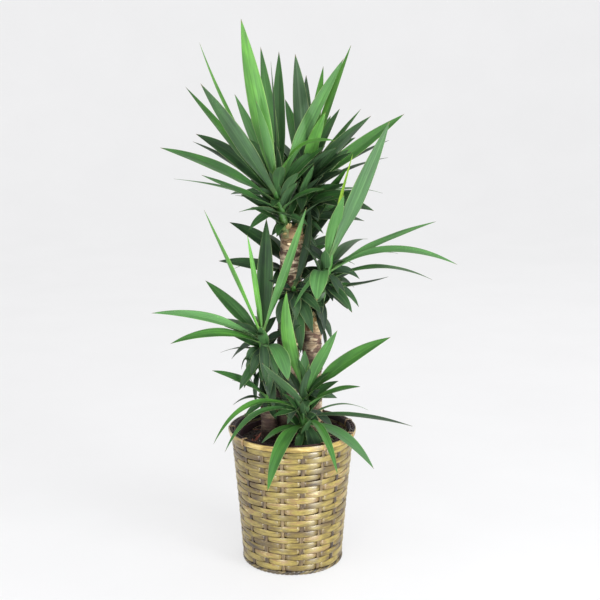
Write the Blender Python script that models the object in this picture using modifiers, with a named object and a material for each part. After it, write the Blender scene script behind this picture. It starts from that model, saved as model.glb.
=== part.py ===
"""Potted yucca in a woven bamboo basket.

Three cut canes of different height stand in the soil of a nursery pot, and a
low shoot stands in front of them. Each shoot is a short green stem that
carries a head of sword leaves. The nursery pot stands inside a basket of
upright stakes and flat weavers, which has a clamped rim and a twined foot.

Metres, +Z up. The origin is the middle of the basket's underside. The front
of the plant looks along -Y.
"""

import math

import bpy
import numpy as np

CM = 0.01
MM = 0.001

# Running gap between two pieces that rest against each other.
SEAT_GAP = 0.3 * MM
# Extra room where two rings of straight facets lie one inside the other.
FACET_SAG = 0.6 * MM

# Basket.
WALL_TOP_DIAMETER = 0.289
WALL_FOOT_DIAMETER = 0.234
WALL_BOW = 1.5 * MM
BASKET_HEIGHT = 0.320
WALL_THICKNESS = 6.5 * MM
STAKES = 18
WEAVER_ROWS = 22
WEAVER_FLOAT = 3.6 * MM
WEAVER_STEP = 1.0 * MM
HOOP_HEIGHT = 14 * MM
HOOP_THICKNESS = 3.6 * MM
RIM_TIES = 9
TIE_WIDTH = 7 * MM
TIE_RAISE = 1.2 * MM
FOOT_DIAMETER = 0.236
FOOT_HEIGHT = 9 * MM
FOOT_THICKNESS = 7 * MM
FOOT_SWELL = 0.8 * MM
FOOT_TWISTS = 15
WALL_BASE = FOOT_HEIGHT + FOOT_SWELL + SEAT_GAP
BASE_THICKNESS = 4 * MM

# Nursery pot and soil.
POT_TOP_DIAMETER = 0.250
POT_FOOT_DIAMETER = 0.190
POT_TOP_HEIGHT = 0.303
POT_WALL = 2 * MM
POT_LIP = 6 * MM
SOIL_LEVEL = 0.292
SOIL_HUMP = 4 * MM
CANE_DEPTH = 0.100
ROUND_STEPS = 32

# Canes: ring scars left by fallen leaves stand out of the bark.
CANE_SIDES = 10
SCAR_SPACING = 42 * MM
SCAR_RAISE = 0.055

# Leaf blades: shares of the length where a section stands, fewer on short ones.
BLADE_STATIONS = (0.0, 0.14, 0.34, 0.56, 0.78, 1.0)
SHORT_STATIONS = (0.0, 0.20, 0.60, 1.0)
SHORT_BLADE = 180 * MM
BLADE_THICKNESS = 1.8 * MM
BLADE_FOLD = 0.17
NECK_WIDTH = 0.38
WIDEST_AT = 0.44
STEM_SIDES = 8

# Canes: name, foot, top (right, back, up in cm) and diameter in mm.
CANES = {
    "cane_tall": ((-1.7, 4.2, SOIL_LEVEL / CM), (0.0, 3.0, 78.5), 51),
    "cane_middle": ((4.6, 2.6, SOIL_LEVEL / CM), (4.5, 1.4, 58.3), 45),
    "cane_short": ((-5.3, 0.4, SOIL_LEVEL / CM), (-5.9, -0.6, 47.0), 36),
}

# Shoots: what each grows from, its root inside that and its crown (right,
# back, up in cm), its diameters in mm there, and its leaves from the lowest
# to the youngest. A leaf is its tip measured from the crown (right, back, up
# in cm), how far its middle stands above the straight line (cm), its width
# in mm and the turn of its blade in degrees.
SHOOTS = {
    "leaves_tall_left": {
        "grows_from": "cane_tall",
        "root": (-1.2, 1.6, 76.5),
        "crown": (-3.6, -2.0, 87.5),
        "diameters": (21, 15),
        "leaves": [
            (-8, -6, -4, 1.0, 20, 30),
            (-11, 16, -3, 2.0, 28, 30),
            (-9, -1, -1, 0.8, 22, 0),
            (10.7, -8, 1.3, 1.2, 24, 35),
            (-8, 24, 2, 2.0, 30, 0),
            (-15, -18, 5.5, 0.0, 27, -35),
            (5.1, -11, 5.2, 1.2, 22, -15),
            (-24, 13, 1, 1.0, 22, 0),
            (-23.5, -17, 11, 1.5, 34, -50),
            (-20, 20, 9, 1.5, 24, 0),
            (-19, 17, 11, 2.0, 34, -50),
            (-21, 15, 22, 0.3, 26, -20),
            (-15, -16, 24, 0.3, 36, 35),
            (-10, 21, 20, 0.5, 32, 0),
            (-17, 8, 32, -1.5, 22, 0),
            (0.6, 12, 30, -0.5, 32, 0),
            (-3.5, 11, 31, 0.5, 32, 0),
            (15, 4, 28.6, 0.6, 40, -60),
            (-1, 3, 28, 0.5, 14, 80),
            (12.9, -11, 11.9, 4.4, 26, 35),
            (-4, -7, 20, 0.7, 22, 30),
            (-7, -7, 37, -0.3, 44, 30),
        ],
    },
    "leaves_tall_right": {
        "grows_from": "cane_tall",
        "root": (0.6, 4.6, 76.5),
        "crown": (3.2, 8.0, 89.0),
        "diameters": (26, 18),
        "leaves": [
            (2.7, -3, -9.7, 1.2, 30, 35),
            (5, 8, -6, 1.2, 32, 40),
            (8.3, -4, -1.3, 1.0, 30, 45),
            (7.5, -8, -5.5, 1.5, 28, 40),
            (-1, -12, -6, 2.0, 28, 0),
            (19, 19, -6, 2.0, 22, 0),
            (-12, 20, -4, 2.0, 30, 0),
            (3, 27, -6, 3.0, 32, 0),
            (6.7, -11, 4.2, 1.0, 34, 35),
            (20, 17, 3, 1.5, 22, 0),
            (14, 22, 6, 2.0, 30, 0),
            (-8, 26, 7, 2.0, 34, 0),
            (20, 14, 7.5, 1.0, 22, 0),
            (10.1, -8, 6.7, 0.8, 36, 40),
            (7, 26, 12, 2.0, 34, 0),
            (23, 9, 14, 0.3, 34, 50),
            (14, -12, 15, 1.0, 34, -30),
            (13, 12, 15, 0.5, 24, 0),
            (4, -15, 16, 1.5, 32, 0),
            (6, 18, 13, 1.0, 30, 0),
            (-5, 17, 17, 1.0, 30, 0),
            (8, 13, 15, 1.0, 30, 0),
            (0, 8, 23, 1.0, 30, 0),
            (4, 10, 25, -0.3, 26, 0),
            (-2.5, -4, 28, 0.4, 38, 25),
            (10, -1, 30, 0.3, 28, 40),
        ],
    },
    "leaves_tall_rear": {
        "grows_from": "cane_tall",
        "root": (0.2, 4.4, 62.0),
        "crown": (-0.5, 8.6, 69.0),
        "diameters": (20, 14),
        "leaves": [
            (6, 4, -13, 1.5, 28, 40),
            (9, 17, -7, 2.0, 28, 0),
            (0, 23, -6, 2.5, 30, 0),
            (9, 3, -6, 1.5, 30, 45),
            (-14, 14, -4, 2.0, 28, 0),
            (-17, 3, 0, 0.8, 30, -50),
            (7, 22, 3, 2.0, 32, 0),
            (-8, 20, 4, 2.0, 32, 0),
            (-14, -2, 10, 1.5, 34, -60),
            (12, 12, 5, 1.5, 26, 40),
            (9, 2, 4, 1.0, 30, 30),
            (11.5, 1, 14, 0.8, 32, 40),
            (-4, 16, 11, 1.5, 28, 0),
            (4, 15, 12, 1.0, 26, 0),
            (13.4, -2, 23, 0.8, 36, 50),
            (4.1, -1, 13.3, -0.6, 32, -50),
        ],
    },
    "leaves_tall_low": {
        "grows_from": "cane_tall",
        "root": (0.2, 1.5, 61.5),
        "crown": (0.4, -1.4, 65.0),
        "diameters": (16, 11),
        "leaves": [
            (-1.5, -2.5, -11, 1.0, 22, -25),
            (4, -4, -9, 1.2, 28, 35),
            (-3.5, -1, -8, 1.0, 28, -35),
            (1.5, -4, -14, 1.5, 26, 20),
            (6, -5, -4.5, 1.0, 22, 35),
            (0.5, -4.5, -6, 1.2, 26, 0),
            (-4, -0.8, -2, 0.6, 20, 0),
            (5, -1.6, -1, 0.8, 20, 0),
            (3.4, 1.9, 19.1, -1.6, 34, 0),
        ],
    },
    "leaves_middle": {
        "grows_from": "cane_middle",
        "root": (4.8, 1.2, 56.2),
        "crown": (8.3, -1.0, 71.0),
        "diameters": (26, 17),
        "leaves": [
            (-6, 0.5, -10.2, 2.0, 28, -40),
            (4.1, 6, -10, 1.5, 24, 40),
            (2.8, 9, -6.8, 1.5, 24, 40),
            (-5.9, -1, -4.5, 1.5, 28, -40),
            (4.8, 7, -4, 1.2, 24, 40),
            (14, 7, -4.6, -0.6, 26, 0),
            (5, -7, -10, 1.5, 24, 30),
            (7, 3, -11, 1.5, 24, 40),
            (6, 6, -7, 1.5, 22, 40),
            (0, 22, -3, 3.0, 30, 0),
            (24, 5, -5, 3.0, 26, 10),
            (-2.9, -12, -6.2, 4.2, 42, 0),
            (7, 1, -4, 2.0, 22, 40),
            (10, 23, 1.5, 2.5, 32, 0),
            (28, -8, 1, 4.5, 28, 25),
            (17, 17, -1, 2.0, 28, 0),
            (25, 9, 8, 1.0, 26, 15),
            (6, 3, -1, 1.5, 18, 0),
            (6, 12, 13, 2.0, 30, 0),
            (-8, -5, -9.4, 1.0, 16, 0),
            (3, -7, 16.3, 0.7, 34, 0),
            (5, -4, 25, 0.5, 14, 70),
            (12.6, -8, 32.3, -0.2, 40, -40),
        ],
    },
    "leaves_short": {
        "grows_from": "cane_short",
        "root": (-6.0, -0.8, 44.8),
        "crown": (-6.8, -3.0, 54.7),
        "diameters": (24, 16),
        "leaves": [
            (-1.6, 2, -12.9, 3.0, 32, -30),
            (5.3, 1, -13.1, 1.5, 30, 35),
            (-3.2, -2, -6.7, 2.0, 26, -35),
            (-1.4, 4, -12.6, 3.0, 28, -30),
            (-10, 7, -6, 1.0, 12, 0),
            (-5, 3, -9, 1.5, 14, 0),
            (-5.4, -2, 2, 0.8, 18, 0),
            (6, -13, -7, 3.5, 37, 0),
            (-2, 24, -2, 3.0, 30, 0),
            (-10, 9, -1, 1.0, 12, 0),
            (-20, -8, 0, 2.5, 28, -30),
            (-13, 18, -1, 2.0, 30, 0),
            (-24.5, -4, 6, 2.2, 26, -40),
            (-13.4, 9, 10.8, 0.4, 34, -30),
            (0, 14, 9.5, 1.5, 30, 0),
            (-12, -9, 30, 0.0, 20, 0),
            (-3, -5, 24, 0.5, 14, 60),
            (1, 4, 26, -0.3, 38, 20),
            (10, -5, 30, -0.3, 23, -40),
        ],
    },
    "leaves_side": {
        "grows_from": "cane_short",
        "root": (-5.4, -0.6, 36.5),
        "crown": (-5.6, -4.2, 40.5),
        "diameters": (14, 10),
        "leaves": [
            (-8, 0, -2, 1.5, 18, 0),
            (-8, -2, 4.5, 0.8, 16, 0),
            (-12.3, -4.6, 7.5, 0.8, 28, -30),
        ],
    },
    "leaves_front": {
        "grows_from": "soil",
        "root": (2.4, -6.2, 26.0),
        "crown": (2.8, -7.0, 42.5),
        "diameters": (22, 15),
        "leaves": [
            (-10, -3, -11.5, 1.5, 30, 0),
            (-8, -19, -16.5, 4.2, 34, 0),
            (15, -14, -13.2, 2.8, 32, 10),
            (-4.5, 4, -5, 1.0, 24, 0),
            (15, 10, -7.5, 2.5, 12, 0),
            (7, -18, -13, 3.7, 20, 0),
            (25, 4, -9.5, 1.2, 22, 15),
            (-17.7, -8, -11.6, 5.2, 16, -20),
            (-20.4, -6, -10.5, 6.0, 18, -20),
            (12, -11, 4.5, 1.2, 30, 20),
            (-5, 4, 5, 1.0, 24, 0),
            (-9, -16, 11.2, -0.5, 36, 0),
            (9, 10, 3, 1.5, 26, 0),
            (18.7, -7, 14.5, 1.5, 38, 50),
            (7, -9, 16.5, 0.6, 30, -20),
            (0, 5, 8.5, 0.6, 26, 0),
            (1, -1, 7, 0.4, 14, 40),
            (-4, 0, 23.2, -1.7, 38, 60),
        ],
    },
    "dry_leaf": {
        "grows_from": "soil",
        "root": (-9.6, -4.6, 28.0),
        "crown": (-9.2, -4.4, 30.0),
        "diameters": (6, 5),
        "leaves": [
            (2.0, 0.8, 1.8, -0.3, 8, 20),
        ],
    },
}


def material(name, colour, roughness, metallic=0.0):
    """A Principled BSDF with a linear colour."""
    made = bpy.data.materials.new(name)
    made.use_nodes = True
    shader = made.node_tree.nodes["Principled BSDF"]
    shader.inputs["Base Color"].default_value = (*colour, 1.0)
    shader.inputs["Roughness"].default_value = roughness
    shader.inputs["Metallic"].default_value = metallic
    return made


def mesh_object(name, points, faces, finish, collection):
    """A named object from points and faces, shaded smooth across soft edges."""
    mesh = bpy.data.meshes.new(name)
    mesh.from_pydata([tuple(p) for p in points], [], [tuple(f) for f in faces])
    mesh.validate()
    mesh.shade_smooth()
    mesh.set_sharp_from_angle(angle=math.radians(40))
    made = bpy.data.objects.new(name, mesh)
    mesh.materials.append(finish)
    collection.objects.link(made)
    return made


def tube_faces(rings, sides, closed):
    """Triangles between stacked rings; closed joins the last ring to the first."""
    faces = []
    for ring in range(rings if closed else rings - 1):
        low, high = ring * sides, (ring + 1) % rings * sides
        for side in range(sides):
            after = (side + 1) % sides
            faces.append((low + side, low + after, high + side))
            faces.append((low + after, high + after, high + side))
    return faces


def loft(name, rings, finish, collection):
    """A solid through rings of points, with a flat cap at each end."""
    rings = np.asarray(rings, float)
    count, sides = rings.shape[:2]
    faces = tube_faces(count, sides, closed=False)
    faces.append(tuple(reversed(range(sides))))
    faces.append(tuple(range((count - 1) * sides, count * sides)))
    return mesh_object(name, rings.reshape(-1, 3), faces, finish, collection)


def hoop(name, sections, finish, collection):
    """A ring-shaped solid through sections that go round the basket's axis.

    Each section runs up its outer side and down its inner side.
    """
    sections = np.asarray(sections, float)[:, ::-1]
    count, sides = sections.shape[:2]
    faces = tube_faces(count, sides, closed=True)
    return mesh_object(name, sections.reshape(-1, 3), faces, finish, collection)


def at_angle(angle, radius, height):
    return (radius * math.cos(angle), radius * math.sin(angle), height)


def modify(target, kind, **settings):
    added = target.modifiers.new(kind.title(), kind)
    for key, value in settings.items():
        setattr(added, key, value)
    return added


def bake_modifiers(target):
    """Puts an object's evaluated shape into its mesh and drops the modifiers."""
    scene = bpy.context.evaluated_depsgraph_get()
    baked = bpy.data.meshes.new_from_object(target.evaluated_get(scene))
    target.modifiers.clear()
    target.data = baked


# Basket

def wall_radius(height):
    """Outer radius of the basket wall: a taper from foot to rim, slightly bowed in."""
    share = height / BASKET_HEIGHT
    taper = (WALL_FOOT_DIAMETER * (1 - share) + WALL_TOP_DIAMETER * share) / 2
    return taper - WALL_BOW * math.sin(math.pi * share)


def basket_wall(finish, collection):
    """Plain weave: a weaver stands out over one stake and sinks at the next."""
    pitch = 2 * math.pi / STAKES
    top = BASKET_HEIGHT - 1.5 * MM
    row_height = (top - WALL_BASE) / WEAVER_ROWS
    levels = []
    for row in range(WEAVER_ROWS):
        levels.append((row, WALL_BASE + row * row_height, WEAVER_STEP))
        levels.append((row, WALL_BASE + (row + 0.93) * row_height, 0.0))
    sections = []
    for stake in range(STAKES):
        for offset in (0.0, pitch / 2):
            angle = stake * pitch + offset
            section = []
            for row, height, step in levels:
                over = 0.5 if offset else (row + stake) % 2
                radius = wall_radius(height) - (1 - over) * WEAVER_FLOAT
                section.append(at_angle(angle, radius - WEAVER_STEP + step, height))
            for height in (top, WALL_BASE):
                inner = wall_radius(height) - WALL_THICKNESS
                section.append(at_angle(angle, inner, height))
            sections.append(section)
    return hoop("basket_wall", sections, finish, collection)


def rim_hoop(name, offset, outward, finish, collection):
    """One of the two bamboo hoops that clamp the wall's top edge.

    offset is its back face measured from the wall's outer face. outward is 1
    for the outer hoop and -1 for the inner one: the tie bands are raised from
    that face, one over every second stake.
    """
    base = BASKET_HEIGHT - HOOP_HEIGHT
    top = BASKET_HEIGHT
    corner = HOOP_THICKNESS * 0.3
    tie_half = TIE_WIDTH / 2 / (WALL_TOP_DIAMETER / 2)
    span = math.pi / RIM_TIES
    stations = [-1.3 * tie_half, -tie_half, tie_half, 1.3 * tie_half]
    stations += [span * share for share in (0.5, 1.0, 1.5)]
    sections = []
    for tie in range(RIM_TIES):
        middle = (2 * tie + 1) * span
        for station in stations:
            raised = TIE_RAISE if abs(station) <= tie_half else 0.0
            face = offset + outward * (HOOP_THICKNESS + raised)
            outline = [
                (offset, base),
                (face, base),
                (face, top - corner),
                (face - outward * corner, top),
                (offset, top),
            ]
            if outward < 0:
                outline.reverse()
            section = [at_angle(middle + station, wall_radius(z) + r, z) for r, z in outline]
            sections.append(section)
    return hoop(name, sections, finish, collection)


def basket_foot(finish, collection):
    """Twined foot border under the wall: withies twisted round each other."""
    inner = FOOT_DIAMETER / 2 - FOOT_THICKNESS
    steps = FOOT_TWISTS * 3
    sections = []
    for step in range(steps):
        angle = 2 * math.pi * step / steps
        swell = FOOT_SWELL * math.cos(2 * math.pi * step / 3)
        outer = FOOT_DIAMETER / 2 + swell
        top = FOOT_HEIGHT + swell
        outline = [
            (inner, 0.0),
            (outer - 2 * MM, 0.0),
            (outer, FOOT_HEIGHT * 0.45),
            (outer - 1.5 * MM, top),
            (inner, top),
        ]
        sections.append([at_angle(angle, r, z) for r, z in outline])
    return hoop("basket_foot", sections, finish, collection)


def turned(name, profile, finish, collection):
    """A turned solid from a closed profile of (radius, height) points."""
    mesh = bpy.data.meshes.new(name)
    points = [(radius, 0.0, height) for radius, height in profile]
    on_axis = profile[0][0] == 0.0 and profile[-1][0] == 0.0
    edges = [(i, i + 1) for i in range(len(points) - 1)]
    if not on_axis:
        edges.append((len(points) - 1, 0))
    mesh.from_pydata(points, edges, [])
    made = bpy.data.objects.new(name, mesh)
    mesh.materials.append(finish)
    collection.objects.link(made)
    modify(
        made,
        "SCREW",
        axis="Z",
        angle=2 * math.pi,
        steps=ROUND_STEPS,
        render_steps=ROUND_STEPS,
        use_merge_vertices=True,
        merge_threshold=0.02 * MM,
        use_normal_calculate=True,
        use_normal_flip=True,
    )
    return made


def basket_base(finish, collection):
    """Flat base disc inside the foot border, level with its underside."""
    radius = FOOT_DIAMETER / 2 - FOOT_THICKNESS - SEAT_GAP - FACET_SAG
    bpy.ops.mesh.primitive_cylinder_add(
        vertices=ROUND_STEPS,
        radius=radius,
        depth=BASE_THICKNESS,
        location=(0, 0, BASE_THICKNESS / 2),
    )
    made = bpy.context.object
    made.name = made.data.name = "basket_base"
    made.data.materials.append(finish)
    for owner in made.users_collection:
        owner.objects.unlink(made)
    collection.objects.link(made)
    return made


# Nursery pot and soil

def pot_radius(height):
    """Outer radius of the nursery pot's wall."""
    foot = BASE_THICKNESS + SEAT_GAP
    share = (height - foot) / (POT_TOP_HEIGHT - foot)
    return (POT_FOOT_DIAMETER * (1 - share) + POT_TOP_DIAMETER * share) / 2


def nursery_pot(finish, collection):
    foot = BASE_THICKNESS + SEAT_GAP
    floor = foot + POT_WALL
    top = POT_TOP_HEIGHT
    lip = top - POT_LIP
    profile = [
        (0.0, floor),
        (pot_radius(floor) - POT_WALL, floor),
        (pot_radius(top) - POT_WALL, top),
        (pot_radius(top) + POT_WALL, top),
        (pot_radius(top) + POT_WALL, lip),
        (pot_radius(lip), lip),
        (pot_radius(foot), foot),
        (0.0, foot),
    ]
    return turned("nursery_pot", profile, finish, collection)


def soil(finish, collection):
    """Filled compost with a low hump round the canes."""
    foot = BASE_THICKNESS + POT_WALL + 2 * SEAT_GAP
    clear = POT_WALL + SEAT_GAP
    edge = SOIL_LEVEL - 5 * MM
    profile = [
        (0.0, SOIL_LEVEL + SOIL_HUMP),
        (0.045, SOIL_LEVEL + SOIL_HUMP * 0.8),
        (0.085, SOIL_LEVEL),
        (pot_radius(edge) - clear - 4 * MM, SOIL_LEVEL - 1 * MM),
        (pot_radius(edge) - clear, edge),
        (pot_radius(foot) - clear, foot),
        (0.0, foot),
    ]
    made = turned("soil", profile, finish, collection)
    bake_modifiers(made)
    return made


# Canes

def ring_round(centre, direction, radius, sides, wobble=0.0, phase=0.0):
    """A ring of points square to a direction, slightly out of round."""
    direction = np.asarray(direction, float)
    direction = direction / np.linalg.norm(direction)
    across = np.cross((0.0, 1.0, 0.0), direction)
    across = across / np.linalg.norm(across)
    other = np.cross(direction, across)
    angles = 2 * math.pi * np.arange(sides) / sides
    radii = radius * (1 + wobble * np.cos(3 * angles + phase))
    return (
        np.asarray(centre, float)
        + radii[:, None] * np.cos(angles)[:, None] * across
        + radii[:, None] * np.sin(angles)[:, None] * other
    )


def cane(name, grow, finish, collection):
    """A cut cane: bark with ring scars, sunk in the soil. grow widens it."""
    foot, top, diameter = CANES[name]
    foot, top = np.array(foot) * CM, np.array(top) * CM
    axis = top - foot
    length = np.linalg.norm(axis)
    direction = axis / length
    scars = round(length / SCAR_SPACING)
    stations = [-CANE_DEPTH, 0.0]
    for scar in range(scars):
        for share in (0.55, 0.8, 0.98):
            stations.append((scar + share) * length / scars)
    stations[-1] = length
    rings = []
    for number, along in enumerate(stations):
        raised = SCAR_RAISE if number >= 2 and number % 3 == 0 else 0.0
        radius = diameter * MM / 2 * (1 + raised) + grow
        radius *= 1.06 - 0.08 * max(along, 0.0) / length
        centre = foot + direction * along
        if number == 0:
            centre = centre - direction * grow
        if number == len(stations) - 1:
            centre = centre + direction * grow
        rings.append(ring_round(centre, direction, radius, CANE_SIDES, 0.03, number))
    return loft(name, rings, finish, collection)


# Leaves

def blade_width(along):
    """Share of the full width at a share of the length.

    It widens from the neck to the widest place and closes to a point.
    """
    rise = np.clip(along / WIDEST_AT, 0, 1)
    opening = NECK_WIDTH + (1 - NECK_WIDTH) * rise * rise * (3 - 2 * rise)
    past = np.clip((along - WIDEST_AT) / (1 - WIDEST_AT), 0, 1)
    return opening * (1 - past**2.1)


def blade(name, root, tip, arch, width, turn, finish, collection):
    """One sword leaf: a chevron section carried along an arched line."""
    root, tip = np.asarray(root, float), np.asarray(tip, float)
    chord = tip - root
    heading = np.array([chord[0], chord[1], 0.0])
    heading /= np.linalg.norm(heading)
    along_chord = chord / np.linalg.norm(chord)
    lift = np.array([0.0, 0.0, 1.0]) - along_chord[2] * along_chord
    lift /= np.linalg.norm(lift)
    knee = (root + tip) / 2 + 2 * arch * lift
    level_side = np.array([-heading[1], heading[0], 0.0])
    stations = SHORT_STATIONS if np.linalg.norm(chord) < SHORT_BLADE else BLADE_STATIONS
    rings = []
    for share in stations[:-1]:
        centre = (1 - share) ** 2 * root + 2 * share * (1 - share) * knee + share**2 * tip
        tangent = (1 - share) * (knee - root) + share * (tip - knee)
        tangent /= np.linalg.norm(tangent)
        upper = np.cross(tangent, level_side)
        angle = math.radians(turn) * min(1.0, share / 0.4)
        side = math.cos(angle) * level_side + math.sin(angle) * upper
        face = math.cos(angle) * upper - math.sin(angle) * level_side
        half = width * float(blade_width(share)) / 2
        fold = 2 * half * BLADE_FOLD * (1.3 - share)
        thickness = BLADE_THICKNESS * (1 - 0.45 * share)
        rings.append(
            [
                centre + side * half + face * fold,
                centre,
                centre - side * half + face * fold,
                centre - face * thickness,
            ]
        )
    points = [p for ring in rings for p in ring] + [tip]
    faces = [(0, 3, 1), (1, 3, 2)]
    for ring in range(len(rings) - 1):
        here, ahead = 4 * ring, 4 * ring + 4
        for rib in (1, 3):
            for edge in (0, 2):
                outer = (here + edge, here + rib, ahead + rib)
                inner = (here + edge, ahead + rib, ahead + edge)
                turned_out = (rib == 1) == (edge == 0)
                for face in (outer, inner):
                    faces.append(face if turned_out else tuple(reversed(face)))
    last = 4 * (len(rings) - 1)
    end = len(points) - 1
    for side in range(4):
        faces.append((last + side, last + (side + 1) % 4, end))
    return mesh_object(name, points, faces, finish, collection)


def stem(name, shoot, grow, finish, collection):
    """The short green stem of a shoot, from its root to a blunt bud."""
    root, crown = np.array(shoot["root"]) * CM, np.array(shoot["crown"]) * CM
    wide, narrow = (d * MM / 2 for d in shoot["diameters"])
    axis = crown - root
    direction = axis / np.linalg.norm(axis)
    shares = (0.0, 0.35, 0.7, 1.0, 1.2)
    radii = (wide, wide * 0.96, (wide + narrow) / 2, narrow, narrow * 0.35)
    rings = []
    for share, radius in zip(shares, radii):
        centre = root + axis * share
        if share == 0.0:
            centre = centre - direction * grow
        rings.append(ring_round(centre, direction, radius + grow, STEM_SIDES))
    return loft(name, rings, finish, collection)


def leaf_head(name, shoot, finish, collection):
    """A shoot's stem and its leaves, joined in one body."""
    body = stem(name, shoot, 0.0, finish, collection)
    root, crown = np.array(shoot["root"]) * CM, np.array(shoot["crown"]) * CM
    blades = bpy.data.collections.new(name + "_blades")
    bpy.context.scene.collection.children.link(blades)
    count = len(shoot["leaves"])
    for number, row in enumerate(shoot["leaves"]):
        right, back, up, arch, width, turn = row
        share = 0.45 + 0.55 * (number + 0.5) / count
        start = root + (crown - root) * share
        tip = crown + np.array([right, back, up]) * CM
        blade(
            f"{name}_{number}",
            start,
            tip,
            arch * CM,
            width * MM,
            turn,
            finish,
            blades,
        )
    modify(
        body,
        "BOOLEAN",
        operation="UNION",
        operand_type="COLLECTION",
        collection=blades,
        solver="EXACT",
    )
    bake_modifiers(body)
    for leaf in list(blades.objects):
        bpy.data.objects.remove(leaf)
    bpy.data.collections.remove(blades)
    return body


def cut(target, cutter):
    """Takes a cutter's shape out of a piece and leaves the cutter hidden."""
    cutter.hide_render = True
    cutter.display_type = "WIRE"
    modify(target, "BOOLEAN", operation="DIFFERENCE", object=cutter, solver="EXACT")


def build():
    for old in list(bpy.data.objects):
        bpy.data.objects.remove(old)
    parts = bpy.data.collections.new("potted_yucca")
    cutters = bpy.data.collections.new("cutters")
    bpy.context.scene.collection.children.link(parts)
    bpy.context.scene.collection.children.link(cutters)

    bamboo = material("bamboo", (0.42, 0.29, 0.11), 0.45)
    dark_bamboo = material("dark_bamboo", (0.20, 0.13, 0.07), 0.55)
    plastic = material("nursery_plastic", (0.035, 0.024, 0.022), 0.45)
    compost = material("compost", (0.030, 0.020, 0.015), 0.95)
    bark = material("bark", (0.30, 0.19, 0.11), 0.85)
    leaf = material("leaf", (0.045, 0.16, 0.035), 0.42)
    dead_leaf = material("dead_leaf", (0.20, 0.065, 0.03), 0.7)

    basket_wall(bamboo, parts)
    rim_hoop("basket_rim_outer", SEAT_GAP, 1, bamboo, parts)
    inner_face = -WALL_THICKNESS - SEAT_GAP - FACET_SAG
    rim_hoop("basket_rim_inner", inner_face, -1, bamboo, parts)
    basket_foot(dark_bamboo, parts)
    basket_base(dark_bamboo, parts)
    nursery_pot(plastic, parts)
    ground = soil(compost, parts)

    canes = {}
    for name in CANES:
        canes[name] = cane(name, 0.0, bark, parts)
        hole = cane(name, SEAT_GAP, bark, cutters)
        hole.name = name + "_hole"
        cut(ground, hole)
    for name, shoot in SHOOTS.items():
        leaf_head(name, shoot, dead_leaf if name == "dry_leaf" else leaf, parts)
        socket = stem(name + "_socket", shoot, SEAT_GAP, leaf, cutters)
        cut(canes.get(shoot["grows_from"], ground), socket)


build()
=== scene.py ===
# %% [markdown]
# # A potted yucca in a woven bamboo basket
#
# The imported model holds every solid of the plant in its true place. This lesson dresses it: the basket is
# woven from real strips, the canes get bark, the soil gets crumbs, and each leaf becomes a fine curved
# blade. Everything is in metres with +Z up, the origin is the middle of the basket's underside, and the
# front looks along -Y.

import bpy
import numpy as np
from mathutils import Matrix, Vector


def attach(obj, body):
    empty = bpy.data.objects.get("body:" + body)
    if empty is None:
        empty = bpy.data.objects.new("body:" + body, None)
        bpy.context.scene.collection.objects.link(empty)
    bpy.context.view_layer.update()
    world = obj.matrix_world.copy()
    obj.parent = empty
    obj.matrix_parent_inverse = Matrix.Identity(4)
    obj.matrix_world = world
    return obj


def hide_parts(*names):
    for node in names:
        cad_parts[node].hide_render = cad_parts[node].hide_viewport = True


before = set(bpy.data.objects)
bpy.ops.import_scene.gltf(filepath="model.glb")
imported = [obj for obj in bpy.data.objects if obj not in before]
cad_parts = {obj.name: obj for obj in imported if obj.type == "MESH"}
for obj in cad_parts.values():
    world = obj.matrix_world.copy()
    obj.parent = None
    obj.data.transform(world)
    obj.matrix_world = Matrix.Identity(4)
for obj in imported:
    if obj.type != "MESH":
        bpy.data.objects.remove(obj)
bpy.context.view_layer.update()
MM = 0.001
CM = 0.01

# %% [markdown]
# ## Small helpers
#
# A material is a tree of nodes. One function adds a node with its settings and links, one turns a hex
# colour, as picked in any paint program, into the linear light values that Blender works with, and one
# links what a finish is made of to its shader: a colour, a roughness and a fine relief.


# %% Colours and nodes
def linear(hex_colour):
    """An sRGB hex colour as linear values: (c + 0.055) / 1.055 to the power 2.4, or c / 12.92 if dark."""
    parts = [int(hex_colour[i : i + 2], 16) / 255 for i in (1, 3, 5)]
    lit = [((c + 0.055) / 1.055) ** 2.4 if c > 0.04045 else c / 12.92 for c in parts]
    return (*lit, 1.0)


def add(tree, kind, inputs=None, stops=None, out=0, **settings):
    """An output of a new node. inputs maps a socket to a value, a hex colour or the output that feeds it."""
    node = tree.nodes.new("ShaderNode" + kind)
    for key, value in settings.items():
        setattr(node, key, value)
    for key, value in (inputs or {}).items():
        if isinstance(value, bpy.types.NodeSocket):
            tree.links.new(value, node.inputs[key])
        else:
            node.inputs[key].default_value = linear(value) if isinstance(value, str) else value
    if stops:
        elements = node.color_ramp.elements
        for element, (place, colour) in zip(elements, (stops[0], stops[-1])):
            element.position, element.color = place, linear(colour)
        for place, colour in stops[1:-1]:
            elements.new(place).color = linear(colour)
    return node.outputs[out]


def new_material(name, **values):
    """An empty material with one Principled shader; values are set on the shader's own sockets."""
    made = bpy.data.materials.new(name)
    made.use_nodes = True
    tree = made.node_tree
    shader = tree.nodes["Principled BSDF"]
    for key, value in values.items():
        socket = key.replace("_", " ")
        shader.inputs[socket].default_value = linear(value) if isinstance(value, str) else value
    return made, tree, shader


def dress(tree, shader, colour, rough, relief, strength, depth):
    """Links a colour, a roughness and a relief to a shader. The relief looks as deep as depth, in metres."""
    bump = add(tree, "Bump", {"Strength": strength, "Distance": depth, "Height": relief})
    for socket, source in {"Base Color": colour, "Roughness": rough, "Normal": bump}.items():
        tree.links.new(source, shader.inputs[socket])


print("mid grey in linear light:", round(linear("#808080")[0], 3))

# %% [markdown]
# Surfaces are worked out as arrays. A grid of points has one row per step along a shape and one column per
# step around it, and the faces only say which four neighbours make a cell. Most pieces are tubes: a ring
# of points carried along a line, closed at both ends by a fan of triangles round a pole.


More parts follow.
